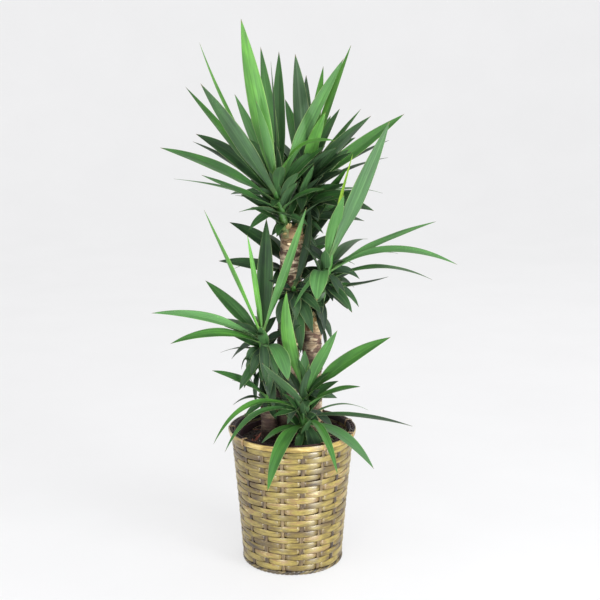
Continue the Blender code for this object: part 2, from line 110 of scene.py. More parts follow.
# %% Surfaces from arrays
def unit(vectors):
    """Each vector divided by its own length."""
    return vectors / np.linalg.norm(vectors, axis=-1, keepdims=True)


def circle(count):
    """Angles in equal steps once round a circle."""
    return 2 * np.pi * np.arange(count) / count


def together(*parts):
    """Arrays stretched to one common shape and set side by side along a new last axis."""
    return np.stack(np.broadcast_arrays(*parts), -1)


def grid_cells(rows, columns, round_rows=False):
    """Four corners of each cell of a grid that closes round its columns, and round its rows if asked."""
    row = np.arange(rows if round_rows else rows - 1)[:, None]
    column = np.arange(columns)[None, :]
    right, up = (column + 1) % columns, (row + 1) % rows
    corners = [row * columns + column, row * columns + right, up * columns + right, up * columns + column]
    return np.stack(corners, -1).reshape(-1, 4)


def end_fan(first, columns, pole, flip=False):
    """Triangles from a ring of points to the pole that closes it."""
    here = first + np.arange(columns)
    after = first + (np.arange(columns) + 1) % columns
    order = [after, here, np.full(columns, pole)]
    return np.stack(order[::-1] if flip else order, -1)


def copies_of(faces, copies, points_each):
    """The same faces for each of several equal pieces that stand one after another in the array."""
    shift = points_each * np.arange(copies)[:, None, None]
    return (faces[None] + shift).reshape(-1, faces.shape[1])


def tube_faces(rings, sides, copies=1):
    """Faces of tubes that lie one after another in the array, each followed by the poles of its two ends."""
    each = rings * sides + 2
    fans = [end_fan(0, sides, each - 2), end_fan((rings - 1) * sides, sides, each - 1, True)]
    return copies_of(grid_cells(rings, sides), copies, each), copies_of(np.concatenate(fans), copies, each)


def capped(points):
    """Tubes by (tube, ring, step round), with the middle of the first and the last ring added as poles."""
    poles = np.stack([points[:, 0].mean(1), points[:, -1].mean(1)], 1)
    return np.concatenate([points.reshape(len(points), -1, 3), poles], 1)


def with_poles(marks, copies=1):
    """Numbers kept for the points of some tubes, with the last repeated for each tube's two poles."""
    pads = ((0, 0), (0, 2))
    return {key: np.pad(np.reshape(value, (copies, -1)), pads, "edge") for key, value in marks.items()}


print("cells of a tube of 3 rings with 4 sides:", len(grid_cells(3, 4)))

# %% [markdown]
# One function puts the arrays into a mesh, which is much faster than adding faces one by one. The volume
# that the faces enclose tells whether they look outwards: if it comes out negative, all are turned round.
# The mesh also keeps numbers for its points, which the materials read, and a flat map for its fibres.


# %% Arrays into a mesh
def enclosed(points, quads, triangles):
    """Volume inside the faces: the sum of a . (b x c) / 6 over all triangles."""
    thirds = np.concatenate([quads[:, [0, 1, 2]], quads[:, [0, 2, 3]], triangles])
    a, b, c = (points[thirds[:, i]] for i in range(3))
    return float((a * np.cross(b, c)).sum() / 6)


def corner_uv(uv, corners, quads, lap):
    """The map of each face corner. On a ring, corners past the seam go on counting by one lap."""
    flat = np.asarray(uv, float).reshape(-1, 2)[corners]
    if lap:
        ring = flat[: 4 * len(quads), 0].reshape(-1, 4)
        ring[ring.max(1, keepdims=True) - ring > lap / 2] += lap
        flat[: 4 * len(quads), 0] = ring.ravel()
    return flat


def put_piece(name, finish, slot, stands_for, points, quads, triangles, marks=None, uv=None, lap=0):
    """Puts arrays into a mesh that rides on the root. marks are one number, or one for each point."""
    points = np.asarray(points, float).reshape(-1, 3)
    quads = np.asarray(quads, int).reshape(-1, 4)
    triangles = np.asarray(triangles, int).reshape(-1, 3)
    volume = enclosed(points, quads, triangles)
    if volume < 0:
        quads, triangles = quads[:, ::-1], triangles[:, ::-1]
    corners = np.concatenate([quads.ravel(), triangles.ravel()]).astype(np.int32)
    sizes = np.concatenate([np.full(len(quads), 4), np.full(len(triangles), 3)])
    mesh = bpy.data.meshes.new(name)
    mesh.vertices.add(len(points))
    mesh.vertices.foreach_set("co", points.ravel())
    mesh.loops.add(len(corners))
    mesh.loops.foreach_set("vertex_index", corners)
    mesh.polygons.add(len(sizes))
    mesh.polygons.foreach_set("loop_start", (np.cumsum(sizes) - sizes).astype(np.int32))
    for mark, numbers in (marks or {}).items():
        numbers = np.array(np.broadcast_to(np.ravel(numbers), len(points)))
        mesh.attributes.new(mark, "FLOAT", "POINT").data.foreach_set("value", numbers)
    if uv is not None:
        layer = mesh.uv_layers.new(name="UVMap")
        layer.uv.foreach_set("vector", corner_uv(uv, corners, quads, lap).ravel())
    mesh.update(calc_edges=True)
    mesh.validate()
    mesh.shade_smooth()
    mesh.materials.append(finish)
    made = bpy.data.objects.new(name, mesh)
    bpy.context.scene.collection.objects.link(made)
    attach(made, "root")
    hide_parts(*stands_for)
    faces = 2 * len(quads) + len(triangles)
    print(f"{name}: {faces} triangles, {abs(volume) * 1e6:.1f} cm3")


# %% [markdown]
# Nature is never even. Smooth noise gives every place in space a number between -1 and 1: a random number
# sits at each corner of a lattice, and the places between are blended. Adding finer and weaker copies
# makes it rough, as bark and soil are. The random numbers come from a fixed formula, so each run is alike.


# %% Smooth noise in space
def noise(places, seed=0):
    """Random corner numbers blended by 3t^2 - 2t^3 along each axis of the lattice cell."""
    places = np.asarray(places, float)
    cell = np.floor(places).astype(np.int64)
    inside = places - cell
    inside = inside * inside * (3 - 2 * inside)
    total = np.zeros(places.shape[:-1])
    for corner in np.ndindex(2, 2, 2):
        at = cell + np.array(corner)
        mixed = at[..., 0] * 73856093 ^ at[..., 1] * 19349663 ^ at[..., 2] * 83492791
        mixed = mixed ^ (seed + 1) * 2971215073
        mixed = (mixed ^ mixed >> 13) * 1274126177 & 0xFFFFFFFF
        value = ((mixed ^ mixed >> 15) & 0xFFFF) / 32767.5 - 1
        total += value * np.where(corner, inside, 1 - inside).prod(-1)
    return total


def rough_noise(places, seed=0, octaves=3):
    """Noise plus copies twice as fine and half as strong."""
    levels = [noise(np.asarray(places) * 2**k, seed + 7 * k) / 2**k for k in range(octaves)]
    return sum(levels) / 1.5


print("noise along a line:", np.round(noise(together(np.arange(0.0, 2.0, 0.5), 0.3, 0.7)), 2))

# %% [markdown]
# ## Camera
#
# The camera stands 2.7 m in front of the pot and 1.2 m up, and looks 12.5 degrees down. That view was
# found from the rim and the foot of the basket: both are circles, and how flat they look gives the tilt.
# The lens is given as the photograph's width and its focal length, both counted in pixels.

# %% Camera
PHOTO_PIXELS = 600
FOCAL_PIXELS = 1215
TILT = 12.5
camera = bpy.data.objects.new("camera", bpy.data.cameras.new("camera"))
bpy.context.scene.collection.objects.link(camera)
camera.location = (0.0176, -2.70, 1.22)
camera.rotation_euler = (np.radians(90 - TILT), 0, 0)
camera.data.sensor_width = 36
camera.data.lens = 36 * FOCAL_PIXELS / PHOTO_PIXELS
camera.data.clip_end = 60
bpy.context.scene.camera = camera
print("lens in mm:", round(camera.data.lens, 1))

# %% [markdown]
# ## The weave of the basket
#
# The wall is plain weave. Eighteen flat upright stakes stand in a tapered ring, and 22 flat strips of split
# bamboo go round them, over one stake and behind the next, one row opposite to the row below. It could be a
# picture on a cone, but the strips catch light on their swelling fronts and leave dark slits where they
# dive, so here each strip is a solid of its own. It stays outside over two spaces and dips only at the
# stake that it passes behind.

# %% Sizes of the basket
STAKES = 18
ROWS = 22
HEIGHT = 320 * MM
WALL_BASE = 10.1 * MM
ROW_HEIGHT = (HEIGHT - 1.5 * MM - WALL_BASE) / ROWS
FLOAT = 3.3 * MM
DIVE = 6.8 * MM
STRIP_THICK = 1.15 * MM
WALL_MIDDLE_RADIUS = 131 * MM
print("row pitch in mm:", round(ROW_HEIGHT / MM, 2))


def wall_radius(height):
    """Outer radius of the wall: a taper from 117 mm at the foot to 144.5 mm, bowed in by 1.5 mm."""
    share = height / HEIGHT
    return (117.0 + 27.5 * share - 1.5 * np.sin(np.pi * share)) * MM


def around_axis(angle, radius, height):
    """Points at an angle round the axis: (radius cos, radius sin, height)."""
    return together(radius * np.cos(angle), radius * np.sin(angle), height)


def rounded(turn, power):
    """Cosine and sine with both drawn towards 1 by a power below 1, so that a circle turns into a box."""
    c, s = np.cos(turn), np.sin(turn)
    return np.sign(c) * np.abs(c) ** power, np.sign(s) * np.abs(s) ** power


def strip_marks(points, own, dive, edge):
    """What each point of a strip keeps: the strip's own number, how far it dives, how near an edge it is."""
    marks = {"strip": own, "dive": dive, "edge": edge}
    return {key: np.broadcast_to(value, points.shape[:-1]) for key, value in marks.items()}


# %% Weavers
def weavers():
    """Strips by (row, step round, step about the strip's own section).

    x is the way along the strip from the nearest stake that it passes behind. The strip lies inside by the
    share 1 / (1 + (x / 6.8 mm)^6), which is 1 behind the stake and drops to 0 just beside it. Between two
    dives it swells: its half width grows by up to 1.9 mm times a cosine, so neighbours overlap.
    """
    steps, sides = STAKES * 20, 12
    row = np.arange(ROWS)[:, None, None]
    pitch = 2 * np.pi / STAKES
    angle = pitch * (7 * row % STAKES) + circle(steps)[None, :, None]
    turn = circle(sides)[None, None, :]
    up, out = rounded(turn, 0.5)
    beside = (angle / pitch + row) % 2 - 1
    behind = 1 / (1 + (beside * pitch * WALL_MIDDLE_RADIUS / DIVE) ** 6)
    wander = noise(together(angle * 2.3, row * 5.1, 0.5), 3)
    lean = noise(together(angle * 3.1, row * 9.7, 4.5), 4)
    bow = np.cos(np.pi / 2 * np.clip(1.25 * (1 - np.abs(beside)), 0, 1))
    piece = np.floor((angle / pitch + row - 1) / 2)
    own = (row * 0.6180339 + piece * 0.381966) % 1.0
    half_up = (6.3 + 0.25 * np.sin(row * 2.4) - 0.7 * behind + (0.6 + 1.3 * own) * bow + 0.4 * wander) * MM
    free = np.sin(np.pi * (row + 0.5) / ROWS)
    drift = (1.7 * wander + 0.5 * np.sin(3 * angle + row)) * MM * free
    middle = WALL_BASE + (row + 0.49) * ROW_HEIGHT + drift
    height = middle + up * half_up
    crown = 1.2 * MM * (1 - up**2) * (out > 0)
    depth = -STRIP_THICK / 2 - 1.8 * MM - behind * (FLOAT - 0.5 * MM) + 0.6 * MM * bow
    reach = depth + out * STRIP_THICK / 2 + crown + 0.8 * MM * lean * up * (1 - behind)
    points = around_axis(angle, wall_radius(height) + reach, height)
    # The dive and edge marks say where the lacquer paints shade.
    marks = strip_marks(points, own, 1 - np.abs(beside), np.abs(up))
    uv = together(angle * WALL_MIDDLE_RADIUS + 0.37 * row, up * half_up)
    return points, copies_of(grid_cells(steps, sides, True), ROWS, steps * sides), [], marks, uv


weave = weavers()
print("points in the weavers:", weave[0].shape[:-1])

# %% [markdown]
# Split bamboo is hard and shiny on its skin side. This basket was stained in golden brown, unevenly, and
# then lacquered, so one strip runs from brown over olive gold to tan and straw. Darker brown is painted
# where a strip dives and along its edges, as shade. A stretched noise gives the fibres: each is long
# along the strip and about half
# a millimetre across, drawn here at one millimetre so that it shows. Fibres act like a brushed surface, so
# the shader is anisotropic: its sheen is drawn out across them, and a lamp shows as an upright band.


# %% Lacquered bamboo
def fibre_noise(tree):
    """Two noises in a strip's own map: a slow one that chooses the stain and a fine one for the fibres."""
    place = add(tree, "UVMap", uv_map="UVMap")
    strip = add(tree, "Attribute", out="Fac", attribute_name="strip")
    shift = add(tree, "Math", {0: strip, 1: 37.0}, operation="MULTIPLY")
    noises = []
    for scale, detail, rough in (((20.0, 90.0, 1.0), 4.0, 0.65), ((30.0, 900.0, 1.0), 2.0, 0.5)):
        mapped = add(tree, "Mapping", {"Vector": place, "Scale": scale})
        inputs = {"Vector": mapped, "W": shift, "Scale": 1.0, "Detail": detail, "Roughness": rough}
        noises.append(add(tree, "TexNoise", inputs, noise_dimensions="4D"))
    return noises


def lacquered_bamboo(name, stops, darker="#4A3418", shine=0.36, coat=0.37):
    """Stained, lacquered split bamboo: satin, with painted shade at a strip's edges and where it dives."""
    lacquer = {"Specular_IOR_Level": 2 * coat, "Coat_Weight": coat, "Coat_Roughness": 0.25}
    brushed = {"Anisotropic": 0.85, "Anisotropic_Rotation": 0.25}
    made, tree, shader = new_material(name, IOR=1.5, **lacquer, **brushed)
    fibres_run = add(tree, "Tangent", direction_type="UV_MAP", uv_map="UVMap")
    tree.links.new(fibres_run, shader.inputs["Tangent"])
    stain, fibre = fibre_noise(tree)
    strip = add(tree, "Attribute", out="Fac", attribute_name="strip")
    own = add(tree, "MapRange", {0: strip, 1: 0.0, 2: 1.0, 3: -0.16, 4: 0.14})
    spread = add(tree, "MapRange", {0: stain, 1: 0.3, 2: 0.7, 3: 0.2, 4: 0.8})
    uneven = add(tree, "Math", {0: spread, 1: own}, operation="ADD")
    base = add(tree, "ValToRGB", {0: uneven}, stops=stops)
    streak = add(tree, "MapRange", {0: fibre, 1: 0.3, 2: 0.7, 3: 0.66, 4: 1.12})
    colour = add(tree, "VectorMath", {0: base, 1: streak}, operation="MULTIPLY")
    # Painted shade: darker along a strip's edges, where the next row overlaps it, and where it dives behind
    # a stake.
    edge = add(tree, "Attribute", out="Fac", attribute_name="edge")
    edge_shade = add(tree, "MapRange", {0: edge, 1: 0.65, 2: 1.0, 3: 0.0, 4: 0.5})
    dive = add(tree, "Attribute", out="Fac", attribute_name="dive")
    bent = add(tree, "Math", {0: dive, 1: 3.0}, operation="POWER")
    dive_shade = add(tree, "Math", {0: bent, 1: 0.7}, operation="MULTIPLY")
    for share in (edge_shade, dive_shade):
        colour = add(tree, "Mix", {0: share, 6: colour, 7: darker}, out=2, data_type="RGBA")
    rough = add(tree, "MapRange", {0: fibre, 1: 0.2, 2: 0.8, 3: shine, 4: shine + 0.2})
    dress(tree, shader, colour, rough, fibre, 0.5, 0.25 * MM)
    return made


BROWN_AND_OLIVE = [(0.16, "#30240F"), (0.26, "#574622"), (0.38, "#695924"), (0.50, "#7A6A28")]
WEAVER_STAIN = BROWN_AND_OLIVE + [(0.62, "#978740"), (0.74, "#82653C"), (0.86, "#BCAF6E")]
weaver_bamboo = lacquered_bamboo("lacquered_split_bamboo", WEAVER_STAIN)
lap = 2 * np.pi * WALL_MIDDLE_RADIUS
put_piece("basket_weavers", weaver_bamboo, "bamboo", ["basket_wall"], *weave, lap)

# %% [markdown]
# The stakes are stiffer flat strips. They show only as small upright windows, where a weaver dives behind
# them. Each is pressed in and out a little by the weavers, in step with the rows.


# %% Stakes
def stakes():
    """Upright strips by (stake, step up, step about the section)."""
    steps, sides = 110, 10
    stake = np.arange(STAKES)[:, None, None]
    share = np.linspace(0, 1, steps)[None, :, None]
    turn = circle(sides)[None, None, :]
    side, out = rounded(turn, 0.5)
    height = WALL_BASE + 0.5 * MM + share * (HEIGHT - WALL_BASE - 3.5 * MM)
    press = np.cos(np.pi * ((height - WALL_BASE) / ROW_HEIGHT + stake)) * 0.25 * MM
    narrow = 1 - 0.15 * np.cos(stake * 1.7) ** 2
    across = side * 4.8 * MM * narrow
    sway = 0.8 * MM * noise(together(height * 9, stake * 3.3, 0.0), 9)
    reach = wall_radius(height) - 2.75 * MM - press + out * 0.8 * MM + (out > 0) * 0.25 * MM * (1 - side**2)
    angle = stake * 2 * np.pi / STAKES + (across + sway) / wall_radius(height)
    points = around_axis(angle, reach, height)
    # The edge mark paints shade along each stake's sides.
    marks = with_poles(strip_marks(points, (stake * 0.381966) % 1.0, 0.0, np.abs(side)), STAKES)
    uv = together(height + stake * 0.41, across).reshape(STAKES, -1, 2)
    uv = np.pad(uv, ((0, 0), (0, 2), (0, 0)), "edge")
    return capped(points), *tube_faces(steps, sides, STAKES), marks, uv


STAKE_STAIN = [(0.25, "#2C2015"), (0.42, "#4C3D27"), (0.55, "#675536"), (0.68, "#7C6A49")]
stake_bamboo = lacquered_bamboo("stained_bamboo_stake", STAKE_STAIN, "#3E2C1C", 0.4)
put_piece("basket_stakes", stake_bamboo, "bamboo", ["basket_wall"], *stakes())

# %% [markdown]
# ## The rim
#
# Two hoops of thicker split bamboo clamp the top of the wall, one outside and one inside. Thin cane is
# wrapped round both at every second stake and pulled tight. A hoop is one rounded section carried round the
# axis, with a low swelling at each knot of the bamboo. The inner hoop and the twisted core between the hoops
# are coloured near-black as painted shade of the basket's inside, and the outer hoop gets painted shade on
# its side towards the middle. The wrapping is three strands, each a loop in an upright plane: a box with
# rounded corners that goes over the hoops and back through the wall.


# %% Hoops
HOOP_THICK = 3.4 * MM
HOOP_TALL = 13.6 * MM
HOOP_RADIUS = 148 * MM


def hoop(back, outward):
    """A ring by (step round, step about the section) whose inner side, seen from the wall, stands at back.

    outward is 1 or -1: the side of the wall that the hoop lies on. A knot is a bell curve along the ring.
    """
    steps, sides = 288, 16
    angle = np.radians(100) + circle(steps)[:, None]
    turn = circle(sides)[None, :]
    up, out = rounded(turn, 0.55)
    knot = np.exp(-(((angle * 3.5 / np.pi + 0.3) % 1.0 - 0.5) / 0.012) ** 2)
    sway = noise(together(angle * 2.0, 0.0, outward), 12)
    height = HEIGHT - HOOP_TALL / 2 + up * (HOOP_TALL / 2) + 0.4 * MM * sway
    bulge = (out * outward > 0) * (1 - up**2) * 0.5 * MM + knot * 0.35 * MM * (out > 0)
    reach = back + outward * HOOP_THICK / 2 + out * HOOP_THICK / 2 * 0.85 + outward * bulge * 0.6
    points = around_axis(angle, wall_radius(height) + reach, height)
    own = 0.37 if outward > 0 else 0.81
    # The dive mark paints shade on the side that faces the basket's middle, and darkens the knots, which are
    # darker of their own.
    marks = strip_marks(points, own, np.maximum(knot * 0.8, 1.15 * (out < 0)), np.abs(up))
    uv = together(angle * HOOP_RADIUS, up * HOOP_TALL / 2)
    return points, grid_cells(steps, sides, True), [], marks, uv


HOOP_STAIN = [(0.25, "#604B2A"), (0.38, "#947C3A"), (0.50, "#B09648"), (0.66, "#C8B478")]
# A near-black copy of the bamboo for the inner hoop and the core: painted shade of the rim's inside.
RIM_SHADE_COLOURS = [(0.32, "#1E1315"), (0.45, "#38262A"), (0.56, "#4A3336"), (0.70, "#5E4644")]
hoop_bamboo = lacquered_bamboo("lacquered_bamboo_hoop", HOOP_STAIN, "#3E2C26", 0.34)
dark_bamboo = lacquered_bamboo("bamboo_painted_in_rim_shade", RIM_SHADE_COLOURS, "#1E1312", 0.5, 0.1)
lap = 2 * np.pi * HOOP_RADIUS
put_piece("basket_hoop_outer", hoop_bamboo, "bamboo", ["basket_rim_outer"], *hoop(0.3 * MM, 1), lap)
put_piece("basket_hoop_inner", dark_bamboo, "bamboo", ["basket_rim_inner"], *hoop(-7.4 * MM, -1), lap)


# %% Wrapped ties
def ties(count=9, strands=3):
    """Loops by (tie and strand, step along the loop, step about the strand)."""
    steps, sides = 40, 8
    number = np.arange(count * strands)[:, None, None]
    loop = circle(steps)[None, :, None]
    turn = circle(sides)[None, None, :]
    across, out = rounded(loop, 0.42)
    strand = number % strands - (strands - 1) / 2
    middle = np.radians(20 + 40 * (number // strands))
    height = HEIGHT - 7.2 * MM + out * 9.0 * MM
    reach = wall_radius(height) - 3.55 * MM + across * 8.1 * MM
    loose = noise(together(number * 2.7, np.cos(loop), np.sin(loop)), 21)
    slant = (strand * 2.35 + 1.1 * np.sin(loop + 0.4) + 0.5 * loose) * MM
    wide, deep = np.cos(turn) * 1.15 * MM, np.sin(turn) * 0.55 * MM
    climb, run = (np.roll(line, -1, 1) - np.roll(line, 1, 1) for line in (height, reach))
    tilt = np.arctan2(climb, run)
    reach = reach + deep * np.sin(tilt)
    height = height - deep * np.cos(tilt)
    angle = middle + (slant + wide) / (146 * MM)
    points = around_axis(angle, reach, height)
    # The edge mark paints shade along each strand's sides.
    marks = strip_marks(points, (number * 0.618) % 1.0, 0.0, np.abs(np.cos(turn)) ** 3)
    uv = together(loop * 8 * MM + number * 0.1, wide)
    return points, copies_of(grid_cells(steps, sides, True), count * strands, steps * sides), [], marks, uv


TIE_STAIN = [(0.30, "#57402A"), (0.45, "#8A6C46"), (0.58, "#A88A5C"), (0.70, "#BDA274")]
tie_cane = lacquered_bamboo("split_cane_binding", TIE_STAIN, "#3E2C1C", 0.35)
put_piece("basket_ties", tie_cane, "bamboo", ["basket_rim_outer", "basket_rim_inner"], *ties())

# %% [markdown]
# Between the hoops lies a twisted cane that hides the cut ends of the stakes, and the foot of the basket is
# a twisted border of three dark canes. A twisted strand is a circle carried along a coil that itself runs
# round the axis: its middle is at the ring's radius plus a cosine, and at the ring's height plus a sine.


# %% Twisted cane
def twisted_ring(radius, height, swing_out, swing_up, strand, strands, twists):
    """Strands by (strand, step round, step about the strand)."""
    steps, sides = twists * 16, 10
    number = np.arange(strands)[:, None, None]
    angle = circle(steps)[None, :, None]
    turn = circle(sides)[None, None, :]
    coil = twists * angle + 2 * np.pi * number / strands
    thick = strand * (1 + 0.08 * noise(together(angle * 6, number * 4.0, 1.0), 30))
    reach = radius + swing_out * np.cos(coil) + thick * np.cos(turn)
    up = height + swing_up * np.sin(coil) + thick * np.sin(turn)
    points = around_axis(angle, reach, up)
    # The dive mark paints shade where a strand turns inwards behind the others.
    marks = strip_marks(points, number / strands, 0.3 - 0.3 * np.cos(coil), 0.0)
    uv = together(angle * radius + number, 2 * strand * np.abs(turn / np.pi - 1))
    return points, copies_of(grid_cells(steps, sides, True), strands, steps * sides), [], marks, uv


FOOT_STAIN = [(0.30, "#2A2117"), (0.43, "#4F4229"), (0.56, "#6F6038"), (0.70, "#86784E")]
foot_cane = lacquered_bamboo("dark_twisted_cane", FOOT_STAIN, "#241A12", 0.45)
foot_radius = 114.9 * MM
core_radius = float(wall_radius(HEIGHT)) - 3.5 * MM
foot = twisted_ring(foot_radius, 4.8 * MM, 1.3 * MM, 2.3 * MM, 2.3 * MM, 3, 22)
core = twisted_ring(core_radius, HEIGHT - 4.0 * MM, 1.3 * MM, 1.2 * MM, 1.9 * MM, 2, 30)
put_piece("basket_foot_twist", foot_cane, "dark_bamboo", ["basket_foot"], *foot, 2 * np.pi * foot_radius)
put_piece("basket_rim_core", dark_bamboo, "bamboo", ["basket_wall"], *core, 2 * np.pi * core_radius)

# %% [markdown]
# ## Pot and base
#
# The nursery pot is thin moulded polypropylene, brown and dusty. The base of the basket is a disc of stained
# bamboo board. Their solids already have the right shape, so they only get a finish. Both patterns read
# object coordinates in metres: dust in soft patches of about 20 mm, and grain in lines of 3 mm.

# %% Moulded pot and bamboo board
pot_plastic, tree, shader = new_material("moulded_polypropylene_pot", IOR=1.49, Specular_IOR_Level=0.25)
place = add(tree, "TexCoord", out="Object")
soft = {"Vector": place, "Scale": 50.0, "Detail": 5.0, "Roughness": 0.65}
dust = add(tree, "TexNoise", soft)
dust_stops = [(0.35, "#2A1B1C"), (0.52, "#3F2A2E"), (0.62, "#4C353A"), (0.78, "#7A6A66")]
colour = add(tree, "ValToRGB", {0: dust}, stops=dust_stops)
rough = add(tree, "MapRange", {0: dust, 1: 0.3, 2: 0.7, 3: 0.55, 4: 0.85})
dress(tree, shader, colour, rough, dust, 0.3, 0.5 * MM)

base_board, tree, shader = new_material("stained_bamboo_board", IOR=1.5)
place = add(tree, "TexCoord", out="Object")
drawn_out = add(tree, "Mapping", {"Vector": place, "Scale": (12.0, 330.0, 40.0)})
grain = add(tree, "TexNoise", {"Vector": drawn_out, "Scale": 1.0, "Detail": 4.0})
board_stops = [(0.35, "#5A432A"), (0.55, "#84663F"), (0.7, "#9B7D50")]
colour = add(tree, "ValToRGB", {0: grain}, stops=board_stops)
rough = add(tree, "MapRange", {0: grain, 1: 0.3, 2: 0.7, 3: 0.5, 4: 0.7})
dress(tree, shader, colour, rough, grain, 0.4, 0.3 * MM)

for node, finish in (("nursery_pot", pot_plastic), ("basket_base", base_board)):
    for material_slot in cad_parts[node].material_slots:
        material_slot.material = finish
    print(node, "has", finish.name)

# %% [markdown]
# ## Soil
#
# Potting soil is dark peat with lumps, bits of bark and a few white grains of perlite. The ground is a disc
# of rings whose height is a low hump plus rough noise, closed by a skirt inside the pot. On it lie nearly
# 800 crumbs, chips and grains, each one a ball of few faces, squashed and turned at random.

# %% Ground
SOIL_LEVEL = 292 * MM
SOIL_EDGE = 119.8 * MM


def ground_height(x, y):
    """Height of the soil: a hump of 4 mm, a drop at the edge, and lumps of 14 mm and finer."""
    far = np.hypot(x, y) / SOIL_EDGE
    hump = 4 * MM * np.exp(-((far / 0.6) ** 2)) - 4 * MM * np.clip((far - 0.8) / 0.2, 0, 1) ** 2
    lumps = rough_noise(np.stack([x / 0.014, y / 0.014, np.zeros_like(x)], -1), 40, 4)
    return SOIL_LEVEL + hump - 1.5 * MM + 2.6 * MM * lumps


def ground():
    """The soil by (ring from the middle outwards and down, step round)."""
    rings, sides = 84, 200
    share = np.linspace(0.012, 1, rings)[:, None]
    angle = circle(sides)[None, :]
    x, y = share * SOIL_EDGE * np.cos(angle), share * SOIL_EDGE * np.sin(angle)
    top = np.stack([x, y, ground_height(x, y)], -1)
    deep = np.array([0.6, 1.0])[:, None]
    bottom = 6.7 * MM
    rim = SOIL_LEVEL - 8 * MM
    radius = SOIL_EDGE + (92.9 * MM - SOIL_EDGE) * deep
    skirt = around_axis(angle, radius, rim + (bottom - rim) * deep)
    poles = np.array([[0, 0, ground_height(np.zeros(1), np.zeros(1))[0]], [0, 0, bottom]])
    points = np.concatenate([top.reshape(-1, 3), skirt.reshape(-1, 3), poles])
    return points, *tube_faces(rings + 2, sides)


# Peat is matt and nearly black when damp, lighter brown where its lumps have dried.
peat, tree, shader = new_material("damp_peat_soil", IOR=1.4)
place = add(tree, "TexCoord", out="Object")
coarse = {"Vector": place, "Scale": 90.0, "Detail": 6.0, "Roughness": 0.7}
lump = add(tree, "TexNoise", coarse)
grit = add(tree, "TexVoronoi", {"Vector": place, "Scale": 330.0})
peat_stops = [(0.35, "#16110D"), (0.5, "#2A211A"), (0.62, "#3D3127"), (0.75, "#5A493A")]
colour = add(tree, "ValToRGB", {0: lump}, stops=peat_stops)
rough = add(tree, "MapRange", {0: lump, 1: 0.3, 2: 0.7, 3: 0.7, 4: 0.98})
height = add(tree, "Math", {0: lump, 1: grit}, operation="ADD")
dress(tree, shader, colour, rough, height, 0.8, 1.2 * MM)
put_piece("soil_ground", peat, "compost", ["soil"], *ground())


# %% [markdown]
# A crumb is a ball whose points are pushed in and out a little, squashed by a different half length along
# each axis, tipped and spun. A chip of bark is the same ball, long and flat. The many little balls are one
# piece, worked out as one array, and each keeps a number that chooses its colour.


# %% Crumbs, chips and perlite
def scattered(count, seed, sizes, sink):
    """Little squashed balls on the soil, by (number, ring, step round). sizes are half lengths in mm."""
    random = np.random.default_rng(seed)
    rings, sides = 3, 7
    each = rings * sides + 2
    far = np.sqrt(random.uniform(0.0, 1, count)) * (SOIL_EDGE - 6 * MM)
    angle = random.uniform(0, 2 * np.pi, count)
    x, y = far * np.cos(angle), far * np.sin(angle)
    low, high = np.array(sizes, float)
    half = (low + (high - low) * random.uniform(0, 1, (count, 1)) ** 2) * MM
    half = half * random.uniform(0.75, 1.25, (count, 3))
    up = np.cos(np.pi * (np.arange(rings) + 1) / (rings + 1))[None, :, None]
    out = np.sqrt(1 - up**2)
    turn = circle(sides)[None, None, :]
    ball = together(out * np.cos(turn), out * np.sin(turn), up)
    ball = np.broadcast_to(ball, (count, rings, sides, 3)).reshape(count, -1, 3)
    poles = np.broadcast_to(np.array([[0, 0, 1.0], [0, 0, -1.0]]), (count, 2, 3))
    ball = np.concatenate([ball, poles], 1) * (1 + random.uniform(-0.25, 0.2, (count, each, 1)))
    ball = ball * half[:, None, :]
    spin, tip = random.uniform(0, 2 * np.pi, count)[:, None], random.normal(0, 0.3, count)[:, None]
    bx, by, bz = ball[..., 0], ball[..., 1], ball[..., 2]
    bx, bz = bx * np.cos(tip) - bz * np.sin(tip), bx * np.sin(tip) + bz * np.cos(tip)
    bx, by = bx * np.cos(spin) - by * np.sin(spin), bx * np.sin(spin) + by * np.cos(spin)
    base = ground_height(x, y) + half[:, 2] * sink
    points = np.stack([bx + x[:, None], by + y[:, None], bz + base[:, None]], -1)
    return points, *tube_faces(rings, sides, count), {"tone": np.repeat(random.uniform(0, 1, count), each)}


def grain_finish(name, stops, rough=0.85):
    """Matt bits whose colour is chosen by their own number, with a fine rough face."""
    made, tree, shader = new_material(name, IOR=1.45)
    tone = add(tree, "Attribute", out="Fac", attribute_name="tone")
    place = add(tree, "TexCoord", out="Object")
    fine = add(tree, "TexNoise", {"Vector": place, "Scale": 400.0, "Detail": 3.0})
    mixed = add(tree, "Math", {0: fine, 1: 0.35, 2: tone}, operation="MULTIPLY_ADD")
    colour = add(tree, "ValToRGB", {0: mixed}, stops=stops)
    dull = add(tree, "MapRange", {0: fine, 1: 0.3, 2: 0.7, 3: rough - 0.1, 4: rough + 0.1})
    dress(tree, shader, colour, dull, fine, 0.6, 0.5 * MM)
    return made


crumb = grain_finish("peat_crumbs", [(0.2, "#100B09"), (0.7, "#271B16"), (1.0, "#45342A")])
chip = grain_finish("pine_bark_chips", [(0.2, "#2A1815"), (0.6, "#4E2C23"), (1.0, "#744A36")], 0.75)
perlite = grain_finish("perlite_grains", [(0.2, "#B8B4AC"), (0.9, "#E4E2DC")], 0.8)
for name, finish, *numbers in (
    ("soil_crumbs", crumb, 620, 50, [(1.2, 1.2, 0.9), (5.0, 4.5, 3.0)], 0.2),
    ("soil_bark_chips", chip, 110, 51, [(3.0, 2.0, 0.7), (10.0, 5.0, 1.8)], 0.6),
    ("soil_perlite", perlite, 45, 52, [(0.8, 0.8, 0.7), (1.8, 1.7, 1.4)], 0.5),
):
    put_piece(name, finish, "compost", ["soil"], *scattered(*numbers))

